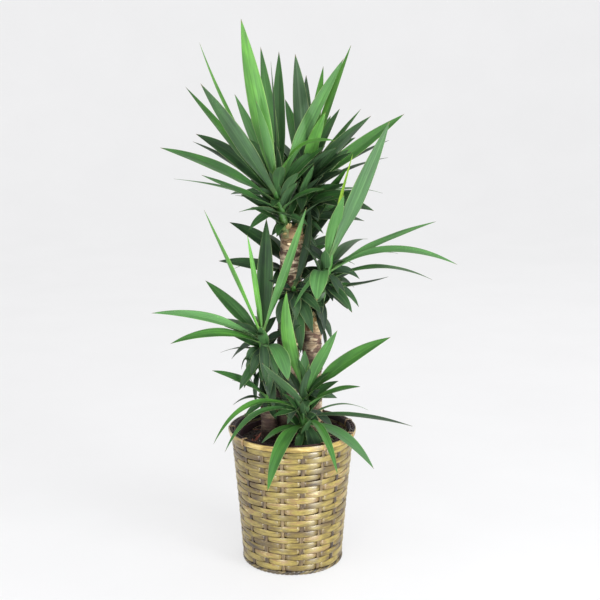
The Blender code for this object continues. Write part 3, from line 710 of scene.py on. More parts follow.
# %% [markdown]
# ## Canes
#
# A yucca cane is a piece of thick stem, cut to length and rooted. Its bark is papery: cream and pinkish
# skins peel off in flakes over darker brown, and rings show where old leaves fell. A plain tube would be too
# smooth, so its radius grows and shrinks by a relief: a tier that swells up to each ring and drops, plus
# noise that lifts the flakes.

# %% Cane numbers and bark relief
# Foot and cut top (right, back and up in cm), diameter in mm and steps round it.
CANES = {
    "cane_tall": ((-1.7, 4.2, 29.2), (0.0, 3.0, 78.5), 51, 116),
    "cane_middle": ((4.6, 2.6, 29.2), (4.5, 1.4, 58.3), 45, 100),
    "cane_short": ((-5.3, 0.4, 29.2), (-5.9, -0.6, 47.0), 36, 84),
}

# Share of the cane's height against how dark the bark is there, partly its own darker bands and partly
# painted shade, most near the soil; above 1 it stays dark also on its lit side, where cane_surface paints
# the side away from the lamps darker still as shade. And the share against how golden it is.
BARK_DARK_AND_SHADE = {
    "cane_tall": ([0, 0.3, 0.6, 0.7, 0.78, 0.93, 1], [1.2, 0.95, 0.9, 0.55, 0.1, 0.3, 0.9]),
    "cane_middle": ([0, 0.12, 0.45, 0.55, 0.66, 0.72, 0.9, 1], [0.9, 0.5, 0.5, 1.1, 1.15, 0.5, 0.3, 0.3]),
    "cane_short": ([0, 0.2, 0.5, 1], [1.25, 1.1, 0.6, 0.6]),
}
GOLDEN_BARK = {
    "cane_tall": ([0, 0.9, 0.97, 1], [0, 0, 0.7, 0.8]),
    "cane_middle": ([0, 0.87, 0.94, 1], [0, 0, 0.8, 0.9]),
    "cane_short": ([0, 0.9, 1], [0, 0, 0.4]),
}


def smooth_step(value, low, high):
    """0 below low, 1 above high and 3t^2 - 2t^3 between."""
    share = np.clip((value - low) / (high - low), 0, 1)
    return share * share * (3 - 2 * share)


def bark_relief(spot, up, seed):
    """Height of the bark over the plain tube: tiers of 21 mm, flakes of 20 mm and fine lines round it."""
    phase = up / (21 * MM) + 0.35 * noise(spot / 0.028, seed)
    tier = phase % 1.0
    scar = np.exp(-(((tier - 0.93) / 0.05) ** 2))
    groove = np.exp(-(((tier - 0.03) / 0.05) ** 2))
    stretch = np.array([0.020, 0.020, 0.0085])
    flake = smooth_step(rough_noise(spot / stretch, seed + 1, 4), -0.12, 0.14)
    grain = rough_noise(spot / np.array([0.008, 0.008, 0.0018]), seed + 2, 2)
    lobes = noise(spot / 0.045, seed + 3)
    rise = (0.8 * tier**2 + 0.7 * scar - 0.8 * groove + 0.7 * flake + 0.25 * grain + 1.0 * lobes - 0.8) * MM
    return rise, flake, groove


upward = np.linspace(0, 40 * MM, 5)
rise = bark_relief(together(20 * MM, 0.0, upward), upward, 60)[0]
print("rise of the bark at every 10 mm of a line, in mm:", np.round(rise / MM, 1))

# %% [markdown]
# The tube is rings 1.5 mm apart along the cane's slanted middle line, then four shrinking ones that close
# the cut. The noise that lifts the flakes is also kept as a mark, so that colour and relief agree.


# %% Cane surface
def square_to(direction):
    """Two unit directions at right angles to one and to each other."""
    across = unit(np.cross((0.0, 1.0, 0.0), direction))
    return across, np.cross(direction, across)


def off_line(line, reach, angle, across, other):
    """Points beside a slanted line: line + reach (cos angle across + sin angle other)."""
    ring = np.cos(angle)[..., None] * across + np.sin(angle)[..., None] * other
    return line + reach[..., None] * ring


def cane_frame(name):
    """Foot, direction, length and two directions square to a cane."""
    foot, top = (np.array(p) * CM for p in CANES[name][:2])
    length = np.linalg.norm(top - foot)
    direction = (top - foot) / length
    return foot, direction, length, *square_to(direction)


def cane_surface(name, seed):
    """A tube by (ring, step round) from 30 mm under the soil to the cut top, and the closed cut."""
    foot, direction, length, across, other = cane_frame(name)
    radius, sides = CANES[name][2] / 2 * MM, CANES[name][3]
    up = np.linspace(-30 * MM, length, int((length + 30 * MM) / (1.5 * MM)))[:, None]
    turn = circle(sides)[None, :]
    taper = radius * (1.06 - 0.08 * np.clip(up, 0, None) / length)
    spot = together(radius * np.cos(turn), radius * np.sin(turn), up)
    rise, flake, groove = bark_relief(spot, up, seed)
    round_off = -1.8 * MM * smooth_step(up, length - 2.5 * MM, length)
    tube = taper + rise + round_off
    shrink = np.array([0.9, 0.7, 0.45, 0.2])[:, None]
    uneven = noise(together(shrink * 4 * np.cos(turn), shrink * 4 * np.sin(turn), 2.0), seed)
    cut_up = length + np.array([0.4, 0.6, 0.2, 0.5])[:, None] * MM + 0.5 * MM * uneven
    reach = np.concatenate([tube, tube[-1:] * shrink])
    level = np.concatenate([np.broadcast_to(up, (len(up), sides)), cut_up])
    points = off_line(foot + level[..., None] * direction, reach, turn, across, other)
    poles = np.stack([foot - 30 * MM * direction, foot + (length + 0.4 * MM) * direction])
    rows = len(points)
    share = np.clip(level / length, 0, 1)
    marks = {
        "flake": np.concatenate([flake, np.zeros((4, sides))]),
        "groove": np.concatenate([groove, np.zeros((4, sides))]),
        "cut": np.concatenate([np.zeros((rows - 5, sides)), np.ones((5, sides))]),
        # dark: the bark's own bands plus painted shade, with the side away from the lamps darker as painted
        # shade.
        "dark": np.clip(np.interp(share, *BARK_DARK_AND_SHADE[name]) - 0.35 * np.cos(turn), 0, 1),
        "golden": np.interp(share, *GOLDEN_BARK[name]),
    }
    whole = np.concatenate([points.reshape(-1, 3), poles])
    return whole, *tube_faces(rows, sides), with_poles(marks)


print("canes, length over the soil in mm:", [round(cane_frame(name)[2] / MM) for name in CANES])

# %% [markdown]
# Dry bark is matt. The flakes are cream to pinkish tan and the layer under them brown. Patches vary over
# about 17 mm, fine wrinkles run round the cane 1.4 mm apart, and the grooves under the rings are painted
# nearly black as their shade. The dark mark adds the bark's own darker bands and painted shade, most near
# the soil and on the side away from the lamps. Near the cut the skin is golden, where it has dried fresh.


# %% Papery bark
def papery_bark(name):
    """Matt bark: pale flakes over brown, dark bands with painted shade, painted shade in grooves, golden
    cut.
    """
    made, tree, shader = new_material(name, IOR=1.4)
    place = add(tree, "TexCoord", out="Object")
    patch = add(tree, "TexNoise", {"Vector": place, "Scale": 60.0, "Detail": 4.0})
    drawn_out = add(tree, "Mapping", {"Vector": place, "Scale": (90.0, 90.0, 700.0)})
    fibre = add(tree, "TexNoise", {"Vector": drawn_out, "Scale": 1.0, "Detail": 3.0})
    pale_stops = [(0.32, "#A48A6C"), (0.45, "#BDA888"), (0.56, "#D8CBAC"), (0.68, "#B79A86")]
    pale = add(tree, "ValToRGB", {0: patch}, stops=pale_stops)
    under_stops = [(0.33, "#3C2C26"), (0.5, "#644C3E"), (0.66, "#7C6556")]
    under = add(tree, "ValToRGB", {0: patch}, stops=under_stops)
    mark = {
        key: add(tree, "Attribute", out="Fac", attribute_name=key)
        for key in ("flake", "groove", "cut", "dark", "golden")
    }
    # The dark mark is painted shade over the bark's own darker bands; the grooves are painted as shade too.
    shade = add(tree, "Math", {0: mark["dark"], 1: 0.9}, operation="MULTIPLY")
    groove_shade = add(tree, "Math", {0: mark["groove"], 1: 0.75}, operation="MULTIPLY")
    layers = (mark["golden"], "#B3935C"), (shade, "#3A2A25"), (mark["cut"], "#9E7F5C"), (groove_shade, "#2A1D17")
    skin = under
    for share, tint in ((mark["flake"], pale), *layers):
        skin = add(tree, "Mix", {0: share, 6: skin, 7: tint}, out=2, data_type="RGBA")
    streak = add(tree, "MapRange", {0: fibre, 1: 0.3, 2: 0.7, 3: 0.6, 4: 1.2})
    colour = add(tree, "VectorMath", {0: skin, 1: streak}, operation="MULTIPLY")
    rough = add(tree, "MapRange", {0: patch, 1: 0.3, 2: 0.7, 3: 0.7, 4: 0.92})
    dress(tree, shader, colour, rough, fibre, 0.7, 0.6 * MM)
    return made


bark = papery_bark("papery_yucca_bark")
for number, name in enumerate(CANES):
    put_piece(name + "_bark", bark, "bark", [name], *cane_surface(name, 60 + 10 * number))

# %% [markdown]
# Some flakes hang loose. Each is a small curved sheet, thick in the middle and thin at its edge, that
# follows the cane at one end and stands off at the other by the square of the way along it.


# %% Loose flakes
def loose_flakes(name, count, seed, low, high, palest):
    """Sheets by (flake, step along, step about the section), between two shares of the cane's height."""
    random = np.random.default_rng(seed)
    foot, direction, length, across, other = cane_frame(name)
    radius = CANES[name][2] / 2 * MM
    steps, sides = 7, 8
    one = (count, 1, 1)
    at = random.uniform(low, high, one) * length
    facing = random.uniform(0, 2 * np.pi, one)
    way = np.where(random.uniform(0, 1, one) < 0.6, 1, -1)
    tall = random.uniform(5, 13, one) * MM * way
    wide = random.uniform(3, 7, one) * MM
    lift = random.uniform(0.8, 3.2, one) * MM
    along = np.linspace(0, 1, steps)[None, :, None]
    turn = circle(sides)[None, None, :]
    ragged = 1 + 0.3 * noise(together(along * 3, facing, turn), seed)
    half = wide * np.sqrt(np.clip(1 - (2 * along - 1) ** 4, 0.02, 1)) * ragged
    up = at + along * tall
    reach = radius * (1.06 - 0.08 * at / length) + 1.3 * MM + lift * along**2 + 0.35 * MM * np.sin(turn)
    angle = facing + way * half * np.cos(turn) / radius
    points = off_line(foot + up[..., None] * direction, reach, angle, across, other)
    tone = np.repeat(random.uniform(0, 1, count) * palest, steps * sides + 2)
    return capped(points), *tube_faces(steps, sides, count), {"tone": tone}


FLAKE_TAN = [(0.15, "#7A5640"), (0.45, "#A98463"), (0.8, "#D6BE95"), (1.0, "#E2CFA8")]
flake_skin = grain_finish("peeling_bark_skin", FLAKE_TAN, 0.8)
for name, *numbers in (
    ("cane_tall", 46, 71, 0.35, 0.98, 1.0),
    ("cane_middle", 26, 72, 0.1, 0.97, 1.0),
    ("cane_short", 7, 73, 0.55, 0.95, 0.35),
):
    put_piece(name + "_flakes", flake_skin, "bark", [name], *loose_flakes(name, *numbers))

# %% [markdown]
# ## Leaves
#
# A yucca leaf is a tough sword: narrow where it clasps the stem, widest near the middle and drawn out to a
# point, with a channel along its upper side. Each leaf here is one row of numbers: its tip measured from
# the crown of its shoot (right, back and up in cm), how far its middle stands above the straight line
# (cm), its width (mm) and the turn of its blade (degrees). These are the numbers of the solids, so the
# fine blades lie where the plain ones do. One letter a leaf gives its tone, with light and shade painted
# in: dark tones on shaded leaves as painted shade, bright ones on leaves that face the light as painted
# light, a grey painted sheen on ones that shine, and yellowish tones on new ones.

# %% Leaf numbers of the tall cane
SHOOTS = {
    "leaves_tall_left": {
        "root": (-1.2, 1.6, 76.5),
        "crown": (-3.6, -2.0, 87.5),
        "diameters": (21, 15),
        "tones": "dddkdkdtkddmdgbkkmdbmb",
        "leaves": [
            (-8, -6, -4, 1.0, 20, 30), (-11, 16, -3, 2.0, 28, 30), (-9, -1, -1, 0.8, 22, 0),
            (10.7, -8, 1.3, 1.2, 24, 35), (-8, 24, 2, 2.0, 30, 0), (-15, -18, 5.5, 0.0, 27, -35),
            (5.1, -11, 5.2, 1.2, 22, -15), (-24, 13, 1, 1.0, 22, 0), (-23.5, -17, 11, 1.5, 34, -50),
            (-20, 20, 9, 1.5, 24, 0), (-19, 17, 11, 2.0, 34, -50), (-21, 15, 22, 0.3, 26, -20),
            (-15, -16, 24, 0.3, 36, 35), (-10, 21, 20, 0.5, 32, 0), (-17, 8, 32, -1.5, 22, 0),
            (0.6, 12, 30, -0.5, 32, 0), (-3.5, 11, 31, 0.5, 32, 0), (15, 4, 28.6, 0.6, 40, -60),
            (-1, 3, 28, 0.5, 14, 80), (12.9, -11, 11.9, 4.4, 26, 35), (-4, -7, 20, 0.7, 22, 30),
            (-7, -7, 37, -0.3, 44, 30),
        ],
    },
    "leaves_tall_right": {
        "root": (0.6, 4.6, 76.5),
        "crown": (3.2, 8.0, 89.0),
        "diameters": (26, 18),
        "tones": "ddkddtdddddddddmdmbkkkdldb",
        "leaves": [
            (2.7, -3, -9.7, 1.2, 30, 35), (5, 8, -6, 1.2, 32, 40), (8.3, -4, -1.3, 1.0, 30, 45),
            (7.5, -8, -5.5, 1.5, 28, 40), (-1, -12, -6, 2.0, 28, 0), (19, 19, -6, 2.0, 22, 0),
            (-12, 20, -4, 2.0, 30, 0), (3, 27, -6, 3.0, 32, 0), (6.7, -11, 4.2, 1.0, 34, 35),
            (20, 17, 3, 1.5, 22, 0), (14, 22, 6, 2.0, 30, 0), (-8, 26, 7, 2.0, 34, 0),
            (20, 14, 7.5, 1.0, 22, 0), (10.1, -8, 6.7, 0.8, 36, 40), (7, 26, 12, 2.0, 34, 0),
            (23, 9, 14, 0.3, 34, 50), (14, -12, 15, 1.0, 34, -30), (13, 12, 15, 0.5, 24, 0),
            (4, -15, 16, 1.5, 32, 0), (6, 18, 13, 1.0, 30, 0), (-5, 17, 17, 1.0, 30, 0),
            (8, 13, 15, 1.0, 30, 0), (0, 8, 23, 1.0, 30, 0), (4, 10, 25, -0.3, 26, 0),
            (-2.5, -4, 28, 0.4, 38, 25), (10, -1, 30, 0.3, 28, 40),
        ],
    },
    "leaves_tall_rear": {
        "root": (0.2, 4.4, 62.0),
        "crown": (-0.5, 8.6, 69.0),
        "diameters": (20, 14),
        "tones": "ddddddddddddddmd",
        "leaves": [
            (6, 4, -13, 1.5, 28, 40), (9, 17, -7, 2.0, 28, 0), (0, 23, -6, 2.5, 30, 0),
            (9, 3, -6, 1.5, 30, 45), (-14, 14, -4, 2.0, 28, 0), (-17, 3, 0, 0.8, 30, -50),
            (7, 22, 3, 2.0, 32, 0), (-8, 20, 4, 2.0, 32, 0), (-14, -2, 10, 1.5, 34, -60),
            (12, 12, 5, 1.5, 26, 40), (9, 2, 4, 1.0, 30, 30), (11.5, 1, 14, 0.8, 32, 40),
            (-4, 16, 11, 1.5, 28, 0), (4, 15, 12, 1.0, 26, 0), (13.4, -2, 23, 0.8, 36, 50),
            (4.1, -1, 13.3, -0.6, 32, -50),
        ],
    },
    "leaves_tall_low": {
        "root": (0.2, 1.5, 61.5),
        "crown": (0.4, -1.4, 65.0),
        "diameters": (16, 11),
        "tones": "ddddddddx",
        "leaves": [
            (-1.5, -2.5, -11, 1.0, 22, -25), (4, -4, -9, 1.2, 28, 35), (-3.5, -1, -8, 1.0, 28, -35),
            (1.5, -4, -14, 1.5, 26, 20), (6, -5, -4.5, 1.0, 22, 35), (0.5, -4.5, -6, 1.2, 26, 0),
            (-4, -0.8, -2, 0.6, 20, 0), (5, -1.6, -1, 0.8, 20, 0), (3.4, 1.9, 19.1, -1.6, 34, 0),
        ],
    },
}

# %% [markdown]
# The middle cane, the short cane and the soil each carry a head of their own, and the short cane has a few
# leaves lower down. The one dry leaf on the soil is written in the same way.

# %% Leaf numbers of the other shoots
SHOOTS |= {
    "leaves_middle": {
        "root": (4.8, 1.2, 56.2),
        "crown": (8.3, -1.0, 71.0),
        "diameters": (26, 17),
        "tones": "dxxdxddddkkoxkgkgxkgmnh",
        "leaves": [
            (-6, 0.5, -10.2, 2.0, 28, -40), (4.1, 6, -10, 1.5, 24, 40), (2.8, 9, -6.8, 1.5, 24, 40),
            (-5.9, -1, -4.5, 1.5, 28, -40), (4.8, 7, -4, 1.2, 24, 40), (14, 7, -4.6, -0.6, 26, 0),
            (5, -7, -10, 1.5, 24, 30), (7, 3, -11, 1.5, 24, 40), (6, 6, -7, 1.5, 22, 40),
            (0, 22, -3, 3.0, 30, 0), (24, 5, -5, 3.0, 26, 10), (-2.9, -12, -6.2, 4.2, 42, 0),
            (7, 1, -4, 2.0, 22, 40), (10, 23, 1.5, 2.5, 32, 0), (28, -8, 1, 4.5, 28, 25),
            (17, 17, -1, 2.0, 28, 0), (25, 9, 8, 1.0, 26, 15), (6, 3, -1, 1.5, 18, 0),
            (6, 12, 13, 2.0, 30, 0), (-8, -5, -9.4, 1.0, 16, 0), (3, -7, 16.3, 0.7, 34, 0),
            (5, -4, 25, 0.5, 14, 70), (12.6, -8, 32.3, -0.2, 40, -40),
        ],
    },
    "leaves_short": {
        "root": (-6.0, -0.8, 44.8),
        "crown": (-6.8, -3.0, 54.7),
        "diameters": (24, 16),
        "tones": "kddkxxdokxmkgkkbbdm",
        "leaves": [
            (-1.6, 2, -12.9, 3.0, 32, -30), (5.3, 1, -13.1, 1.5, 30, 35), (-3.2, -2, -6.7, 2.0, 26, -35),
            (-1.4, 4, -12.6, 3.0, 28, -30), (-10, 7, -6, 1.0, 12, 0), (-5, 3, -9, 1.5, 14, 0),
            (-5.4, -2, 2, 0.8, 18, 0), (6, -13, -7, 3.5, 37, 0), (-2, 24, -2, 3.0, 30, 0),
            (-10, 9, -1, 1.0, 12, 0), (-20, -8, 0, 2.5, 28, -30), (-13, 18, -1, 2.0, 30, 0),
            (-24.5, -4, 6, 2.2, 26, -40), (-13.4, 9, 10.8, 0.4, 34, -30), (0, 14, 9.5, 1.5, 30, 0),
            (-12, -9, 30, 0.0, 20, 0), (-3, -5, 24, 0.5, 14, 60), (1, 4, 26, -0.3, 38, 20),
            (10, -5, 30, -0.3, 23, -40),
        ],
    },
    "leaves_side": {
        "root": (-5.4, -0.6, 36.5),
        "crown": (-5.6, -4.2, 40.5),
        "diameters": (14, 10),
        "tones": "dmk",
        "leaves": [(-8, 0, -2, 1.5, 18, 0), (-8, -2, 4.5, 0.8, 16, 0), (-12.3, -4.6, 7.5, 0.8, 28, -30)],
    },
    "leaves_front": {
        "root": (2.4, -6.2, 26.0),
        "crown": (2.8, -7.0, 42.5),
        "diameters": (22, 15),
        "tones": "mmtdtmdklmdddmmtnb",
        "leaves": [
            (-10, -3, -11.5, 1.5, 30, 0), (-8, -19, -16.5, 4.2, 34, 0), (15, -14, -13.2, 2.8, 32, 10),
            (-4.5, 4, -5, 1.0, 24, 0), (15, 10, -7.5, 2.5, 12, 0), (7, -18, -13, 3.7, 20, 0),
            (25, 4, -9.5, 1.2, 22, 15), (-17.7, -8, -11.6, 5.2, 16, -20), (-20.4, -6, -10.5, 6.0, 18, -20),
            (12, -11, 4.5, 1.2, 30, 20), (-5, 4, 5, 1.0, 24, 0), (-9, -16, 11.2, -0.5, 36, 0),
            (9, 10, 3, 1.5, 26, 0), (18.7, -7, 14.5, 1.5, 38, 50), (7, -9, 16.5, 0.6, 30, -20),
            (0, 5, 8.5, 0.6, 26, 0), (1, -1, 7, 0.4, 14, 40), (-4, 0, 23.2, -1.7, 38, 60),
        ],
    },
    "dry_leaf": {
        "root": (-9.6, -4.6, 28.0),
        "crown": (-9.2, -4.4, 30.0),
        "diameters": (6, 5),
        "tones": "r",
        "leaves": [(2.0, 0.8, 1.8, -0.3, 8, 20)],
    },
}

# Letter: tone from dark, painted shade, over bright, painted light, to new, and grey painted sheen. The one
# leaf with an o is also widest beyond its middle.
TONES = {
    "o": (0.44, 0.7),
    "h": (0.27, 0.4),
    "x": (0.0, 0.2),
    "d": (0.17, 0.0),
    "k": (0.33, 0.1),
    "t": (0.30, 0.8),
    "m": (0.48, 0.1),
    "g": (0.52, 1.0),
    "l": (0.60, 0.1),
    "b": (0.70, 0.0),
    "n": (1.0, 0.0),
    "r": (0.5, 0.0),
}
print("leaves:", sum(len(shoot["leaves"]) for shoot in SHOOTS.values()))

# %% [markdown]
# A leaf's middle line is a curve from its root to its tip with one knee above the middle. Roots climb the
# upper half of the stem, so that the first leaves in a list are the lowest.


# %% Width and middle line of a leaf
def blade_width(along, widest=0.44):
    """Share of the full width: 0.38 at the neck, 1 where it is widest, then closing to the point."""
    rise = np.clip(along / widest, 0, 1)
    opening = 0.38 + 0.62 * rise * rise * (3 - 2 * rise)
    past = np.clip((along - widest) / (1 - widest), 0, 1)
    return opening * (1 - past**2.1)


def middle_line(roots, tips, arches, along):
    """(1-t)^2 root + 2t(1-t) knee + t^2 tip, and its direction. The knee is two arches over the chord."""
    chord = tips - roots
    straight = unit(chord)
    lift = unit(np.array([0, 0, 1.0]) - straight[:, 2:] * straight)
    knee = ((roots + tips) / 2 + 2 * arches[:, None] * lift)[:, None]
    root, tip = roots[:, None], tips[:, None]
    centre = (1 - along) ** 2 * root + 2 * along * (1 - along) * knee + along**2 * tip
    tangent = unit((1 - along) * (knee - root) + along * (tip - knee))
    return centre, tangent


def stem_ends(shoot):
    """The root of a shoot's stem and its crown, in metres."""
    return np.array(shoot["root"]) * CM, np.array(shoot["crown"]) * CM


def leaf_ends(shoot):
    """Root, tip, arch, width and turn of each leaf."""
    root, crown = stem_ends(shoot)
    rows = np.array(shoot["leaves"], float)
    share = 0.45 + 0.55 * (np.arange(len(rows)) + 0.5) / len(rows)
    roots = root + (crown - root) * share[:, None]
    return roots, crown + rows[:, :3] * CM, rows[:, 3] * CM, rows[:, 4] * MM, rows[:, 5]


print("width along a leaf, as a share:", np.round(blade_width(np.linspace(0, 1, 6)), 2))

# %% [markdown]
# All blades of a shoot are made at once, as an array of leaf, station along it and step about its section.
# Two directions go along with the middle line: one to the side, turned by the leaf's turn over its first
# part, and one out of its face. The section is a thin lens, bent up at both edges for the channel. Real
# blades also ripple a little at their edges, so a slow wave is added that grows with the square of the
# distance from the midrib.


# %% Blade surfaces
def blades(ends, own, seed, stations=28, sides=20, thick=1.25 * MM, ripple=1.0 * MM, widest=0.44):
    """Closed blades by (leaf, station, step about the section), with a pole at each end.

    ends holds their roots, tips, arches, widths and turns, and own what else is kept for each, as its tone.
    """
    roots, tips, arches, widths, turns = ends
    count = len(roots)
    widest = np.broadcast_to(widest, count)[:, None, None]
    random = np.random.default_rng(seed)
    along = np.linspace(0, 0.988, stations)[None, :, None]
    centre, tangent = middle_line(roots, tips, arches, along)
    chord = tips - roots
    level = unit(np.stack([-chord[:, 1], chord[:, 0], 0 * chord[:, 0]], -1))[:, None]
    upper = np.cross(tangent, np.broadcast_to(level, tangent.shape))
    angle = np.radians(turns)[:, None, None] * np.clip(along / 0.4, 0, 1)
    angle = angle + np.radians(random.uniform(-9, 9, (count, 1, 1))) * along**2
    side = np.cos(angle) * level + np.sin(angle) * upper
    face = np.cos(angle) * upper - np.sin(angle) * level
    half = widths[:, None, None] / 2 * blade_width(along, widest)
    section = circle(sides)[None, None, :]
    across, lens = np.cos(section), np.sin(section)
    flat = 1 - 0.5 * smooth_step(widths, 36 * MM, 44 * MM)[:, None, None]
    fold = 0.4 * half * flat * (1.3 - along) * np.abs(across) ** 1.3
    waves = random.uniform(1.6, 3.2, (count, 1, 1)) * 2 * np.pi * along + random.uniform(0, 6, (count, 1, 1))
    wave = np.sin(waves + 1.9 * (across > 0)) * across**2 * ripple * np.clip(along * 4, 0, 1) * (1 - along)
    clasp = 0.5 * half * across**2 * np.exp(-along / 0.05)
    deep = thick * (1 - 0.5 * along)
    raised = fold + wave + clasp + deep / 2 * (lens - 1)
    points = centre[:, :, None] + (half * across)[..., None] * side[:, :, None]
    points = points + raised[..., None] * face[:, :, None]
    whole = np.concatenate([points.reshape(count, -1, 3), roots[:, None], tips[:, None]], 1)
    length = np.linalg.norm(chord, axis=1)[:, None, None]
    each = stations * sides
    marks = {"along": along, "across": across, "under": (lens < -0.01) * 1.0}
    shape = (count, stations, sides)
    marks = with_poles({key: np.broadcast_to(value, shape) for key, value in marks.items()}, count)
    marks["along"][:, each:] = (0.0, 1.0)
    marks |= {key: np.repeat(value, each + 2) for key, value in own.items()}
    uv = together(half * across + 0.09 * np.arange(count)[:, None, None], length * along)
    uv = np.pad(uv.reshape(count, each, 2), ((0, 0), (0, 2), (0, 0)), "edge")
    return whole, *tube_faces(stations, sides, count), marks, uv


dry = blades(leaf_ends(SHOOTS["dry_leaf"]), {"tone": [0.3]}, 171)
print("points in one blade:", dry[0].shape[1], "and its four-sided cells:", len(dry[1]))

# %% [markdown]
# A leaf is covered by a cuticle, a skin of wax: smooth and satin, with a grey sheen painted on some as a
# highlight. Its veins run straight along it, about a millimetre apart, drawn here at three so that they
# show. The midrib and the thin horny margin are paler, the base is pale where the light never reached, and
# the very tip is brown. The underside is duller and greyer. Marks on the mesh say where each of these is.


# %% Waxed leaf cuticle
SHADED_GREENS = [(0.0, "#26352A"), (0.17, "#2F4A2D"), (0.33, "#32592B")]
LEAF_GREENS = SHADED_GREENS + [(0.52, "#3F702D"), (0.66, "#4D8531"), (0.82, "#60A037"), (1.0, "#9DC648")]


def waxed_cuticle(name):
    """Satin wax over green, with veins, a pale margin, midrib and base, a greyer underside and painted
    sheen.
    """
    made, tree, shader = new_material(name, IOR=1.4, Specular_IOR_Level=0.26)
    mark = {
        key: add(tree, "Attribute", out="Fac", attribute_name=key)
        for key in ("along", "across", "under", "tone", "bloom")
    }
    place = add(tree, "UVMap", uv_map="UVMap")
    drawn_out = add(tree, "Mapping", {"Vector": place, "Scale": (330.0, 7.0, 1.0)})
    vein = add(tree, "TexNoise", {"Vector": drawn_out, "Scale": 1.0, "Detail": 2.0})
    drawn_out = add(tree, "Mapping", {"Vector": place, "Scale": (45.0, 14.0, 1.0)})
    patch = add(tree, "TexNoise", {"Vector": drawn_out, "Scale": 1.0, "Detail": 2.0})
    drift = add(tree, "MapRange", {0: patch, 1: 0.3, 2: 0.7, 3: -0.12, 4: 0.10})
    tone = add(tree, "Math", {0: mark["tone"], 1: drift}, operation="ADD")
    green = add(tree, "ValToRGB", {0: tone}, stops=LEAF_GREENS)
    # The sheen mark paints a grey highlight on leaves that shine.
    bloom = add(tree, "Math", {0: mark["bloom"], 1: 0.4}, operation="MULTIPLY")
    below = add(tree, "Math", {0: mark["under"], 1: 0.16}, operation="MULTIPLY")
    wide = add(tree, "Math", {0: mark["across"]}, operation="ABSOLUTE")
    margin = add(tree, "MapRange", {0: wide, 1: 0.91, 2: 0.98, 3: 0.0, 4: 0.36})
    rib = add(tree, "MapRange", {0: wide, 1: 0.0, 2: 0.12, 3: 0.08, 4: 0.0})
    foot = add(tree, "MapRange", {0: mark["along"], 1: 0.02, 2: 0.16, 3: 0.3, 4: 0.0})
    tip = add(tree, "MapRange", {0: mark["along"], 1: 0.965, 2: 0.99, 3: 0.0, 4: 0.7})
    skin = green
    for share, tint in (
        (bloom, "#6D9C69"),
        (below, "#6E8F6A"),
        (margin, "#B4C486"),
        (rib, "#8FB872"),
        (foot, "#7FA04A"),
        (tip, "#6E5A38"),
    ):
        skin = add(tree, "Mix", {0: share, 6: skin, 7: tint}, out=2, data_type="RGBA")
    streak = add(tree, "MapRange", {0: vein, 1: 0.3, 2: 0.7, 3: 0.74, 4: 1.2})
    colour = add(tree, "VectorMath", {0: skin, 1: streak}, operation="MULTIPLY")
    matt = add(tree, "MapRange", {0: mark["bloom"], 1: 0.0, 2: 1.0, 3: 0.36, 4: 0.45})
    rough = add(tree, "Math", {0: vein, 1: 0.12, 2: matt}, operation="MULTIPLY_ADD")
    dress(tree, shader, colour, rough, vein, 0.35, 0.3 * MM)
    return made


cuticle = waxed_cuticle("waxed_leaf_cuticle")
print("nodes in the leaf's material:", len(cuticle.node_tree.nodes))

# %% [markdown]
# A head is full of small leaves in the shade of the long ones. They are placed by rule: roots climb the
# stem in equal steps, and each leaf points 0.618 of the allowed range further round than the one before,
# so that they never line up. Slope, length, width and turn get a little chance.

# %% All blades
# Leaves inside a head: its shoot, how many, their length in cm, how steeply they rise, between which
# directions they point (both in degrees, the second from the right over the back), and their tone, low
# as painted shade.
INNER = {
    "leaves_tall_left": [(8, (5, 9), (-35, 25), (0, 360), 0.22), (16, (10, 17), (25, 75), (0, 360), 0.20)],
    "leaves_tall_right": [
        (14, (6, 11), (-70, -10), (0, 360), 0.10),
        (18, (11, 17), (20, 75), (0, 360), 0.14),
        (14, (11, 18), (-5, 55), (-70, 50), 0.16),
    ],
    "leaves_tall_rear": [(18, (7, 12), (-45, 50), (0, 360), 0.08)],
    "leaves_tall_low": [
        (14, (6, 11), (-85, -62), (0, 360), 0.04),
        (10, (4, 7), (-30, 40), (180, 380), 0.06),
    ],
    "leaves_middle": [
        (28, (5, 10), (-70, 0), (0, 360), 0.05),
        (8, (7, 12), (15, 65), (0, 360), 0.15),
        (7, (8, 12), (-60, -5), (110, 195), 0.03),
    ],
    "leaves_short": [
        (24, (6, 11), (-80, -10), (0, 360), 0.12),
        (8, (7, 12), (15, 65), (60, 290), 0.2),
        (6, (9, 14), (-80, -60), (-80, 60), 0.08),
        (7, (5, 7.5), (10, 60), (-10, 70), 0.08),
    ],
    "leaves_side": [(6, (4, 7), (-50, 20), (0, 360), 0.12)],
    "leaves_front": [(22, (6, 11), (-60, 10), (0, 360), 0.16), (12, (8, 13), (40, 80), (180, 360), 0.18)],
}


def inner_leaves(shoot, count, lengths, slopes, facing, seed):
    """Roots along the stem; tips at length times (cos slope cos way, cos slope sin way, sin slope)."""
    random = np.random.default_rng(seed)
    root, crown = stem_ends(shoot)
    share = (np.arange(count) + 0.5) / count * 0.85 + 0.1
    start, end = facing
    golden = (0.618 * np.arange(count) + random.uniform(0, 0.2, count)) % 1
    turn = np.radians(start + (end - start) * golden)
    slope = np.radians(random.uniform(*slopes, count))
    length = random.uniform(*lengths, count) * CM
    way = np.stack([np.cos(slope) * np.cos(turn), np.cos(slope) * np.sin(turn), np.sin(slope)], -1)
    roots = root + (crown - root) * share[:, None]
    arches = random.uniform(0.03, 0.12, count) * length
    widths = np.clip(0.26 * length, 18 * MM, 32 * MM) * random.uniform(0.85, 1.1, count)
    turns = 45 * np.cos(turn) + random.uniform(-15, 15, count)
    return roots, roots + way * length[:, None], arches, widths, turns


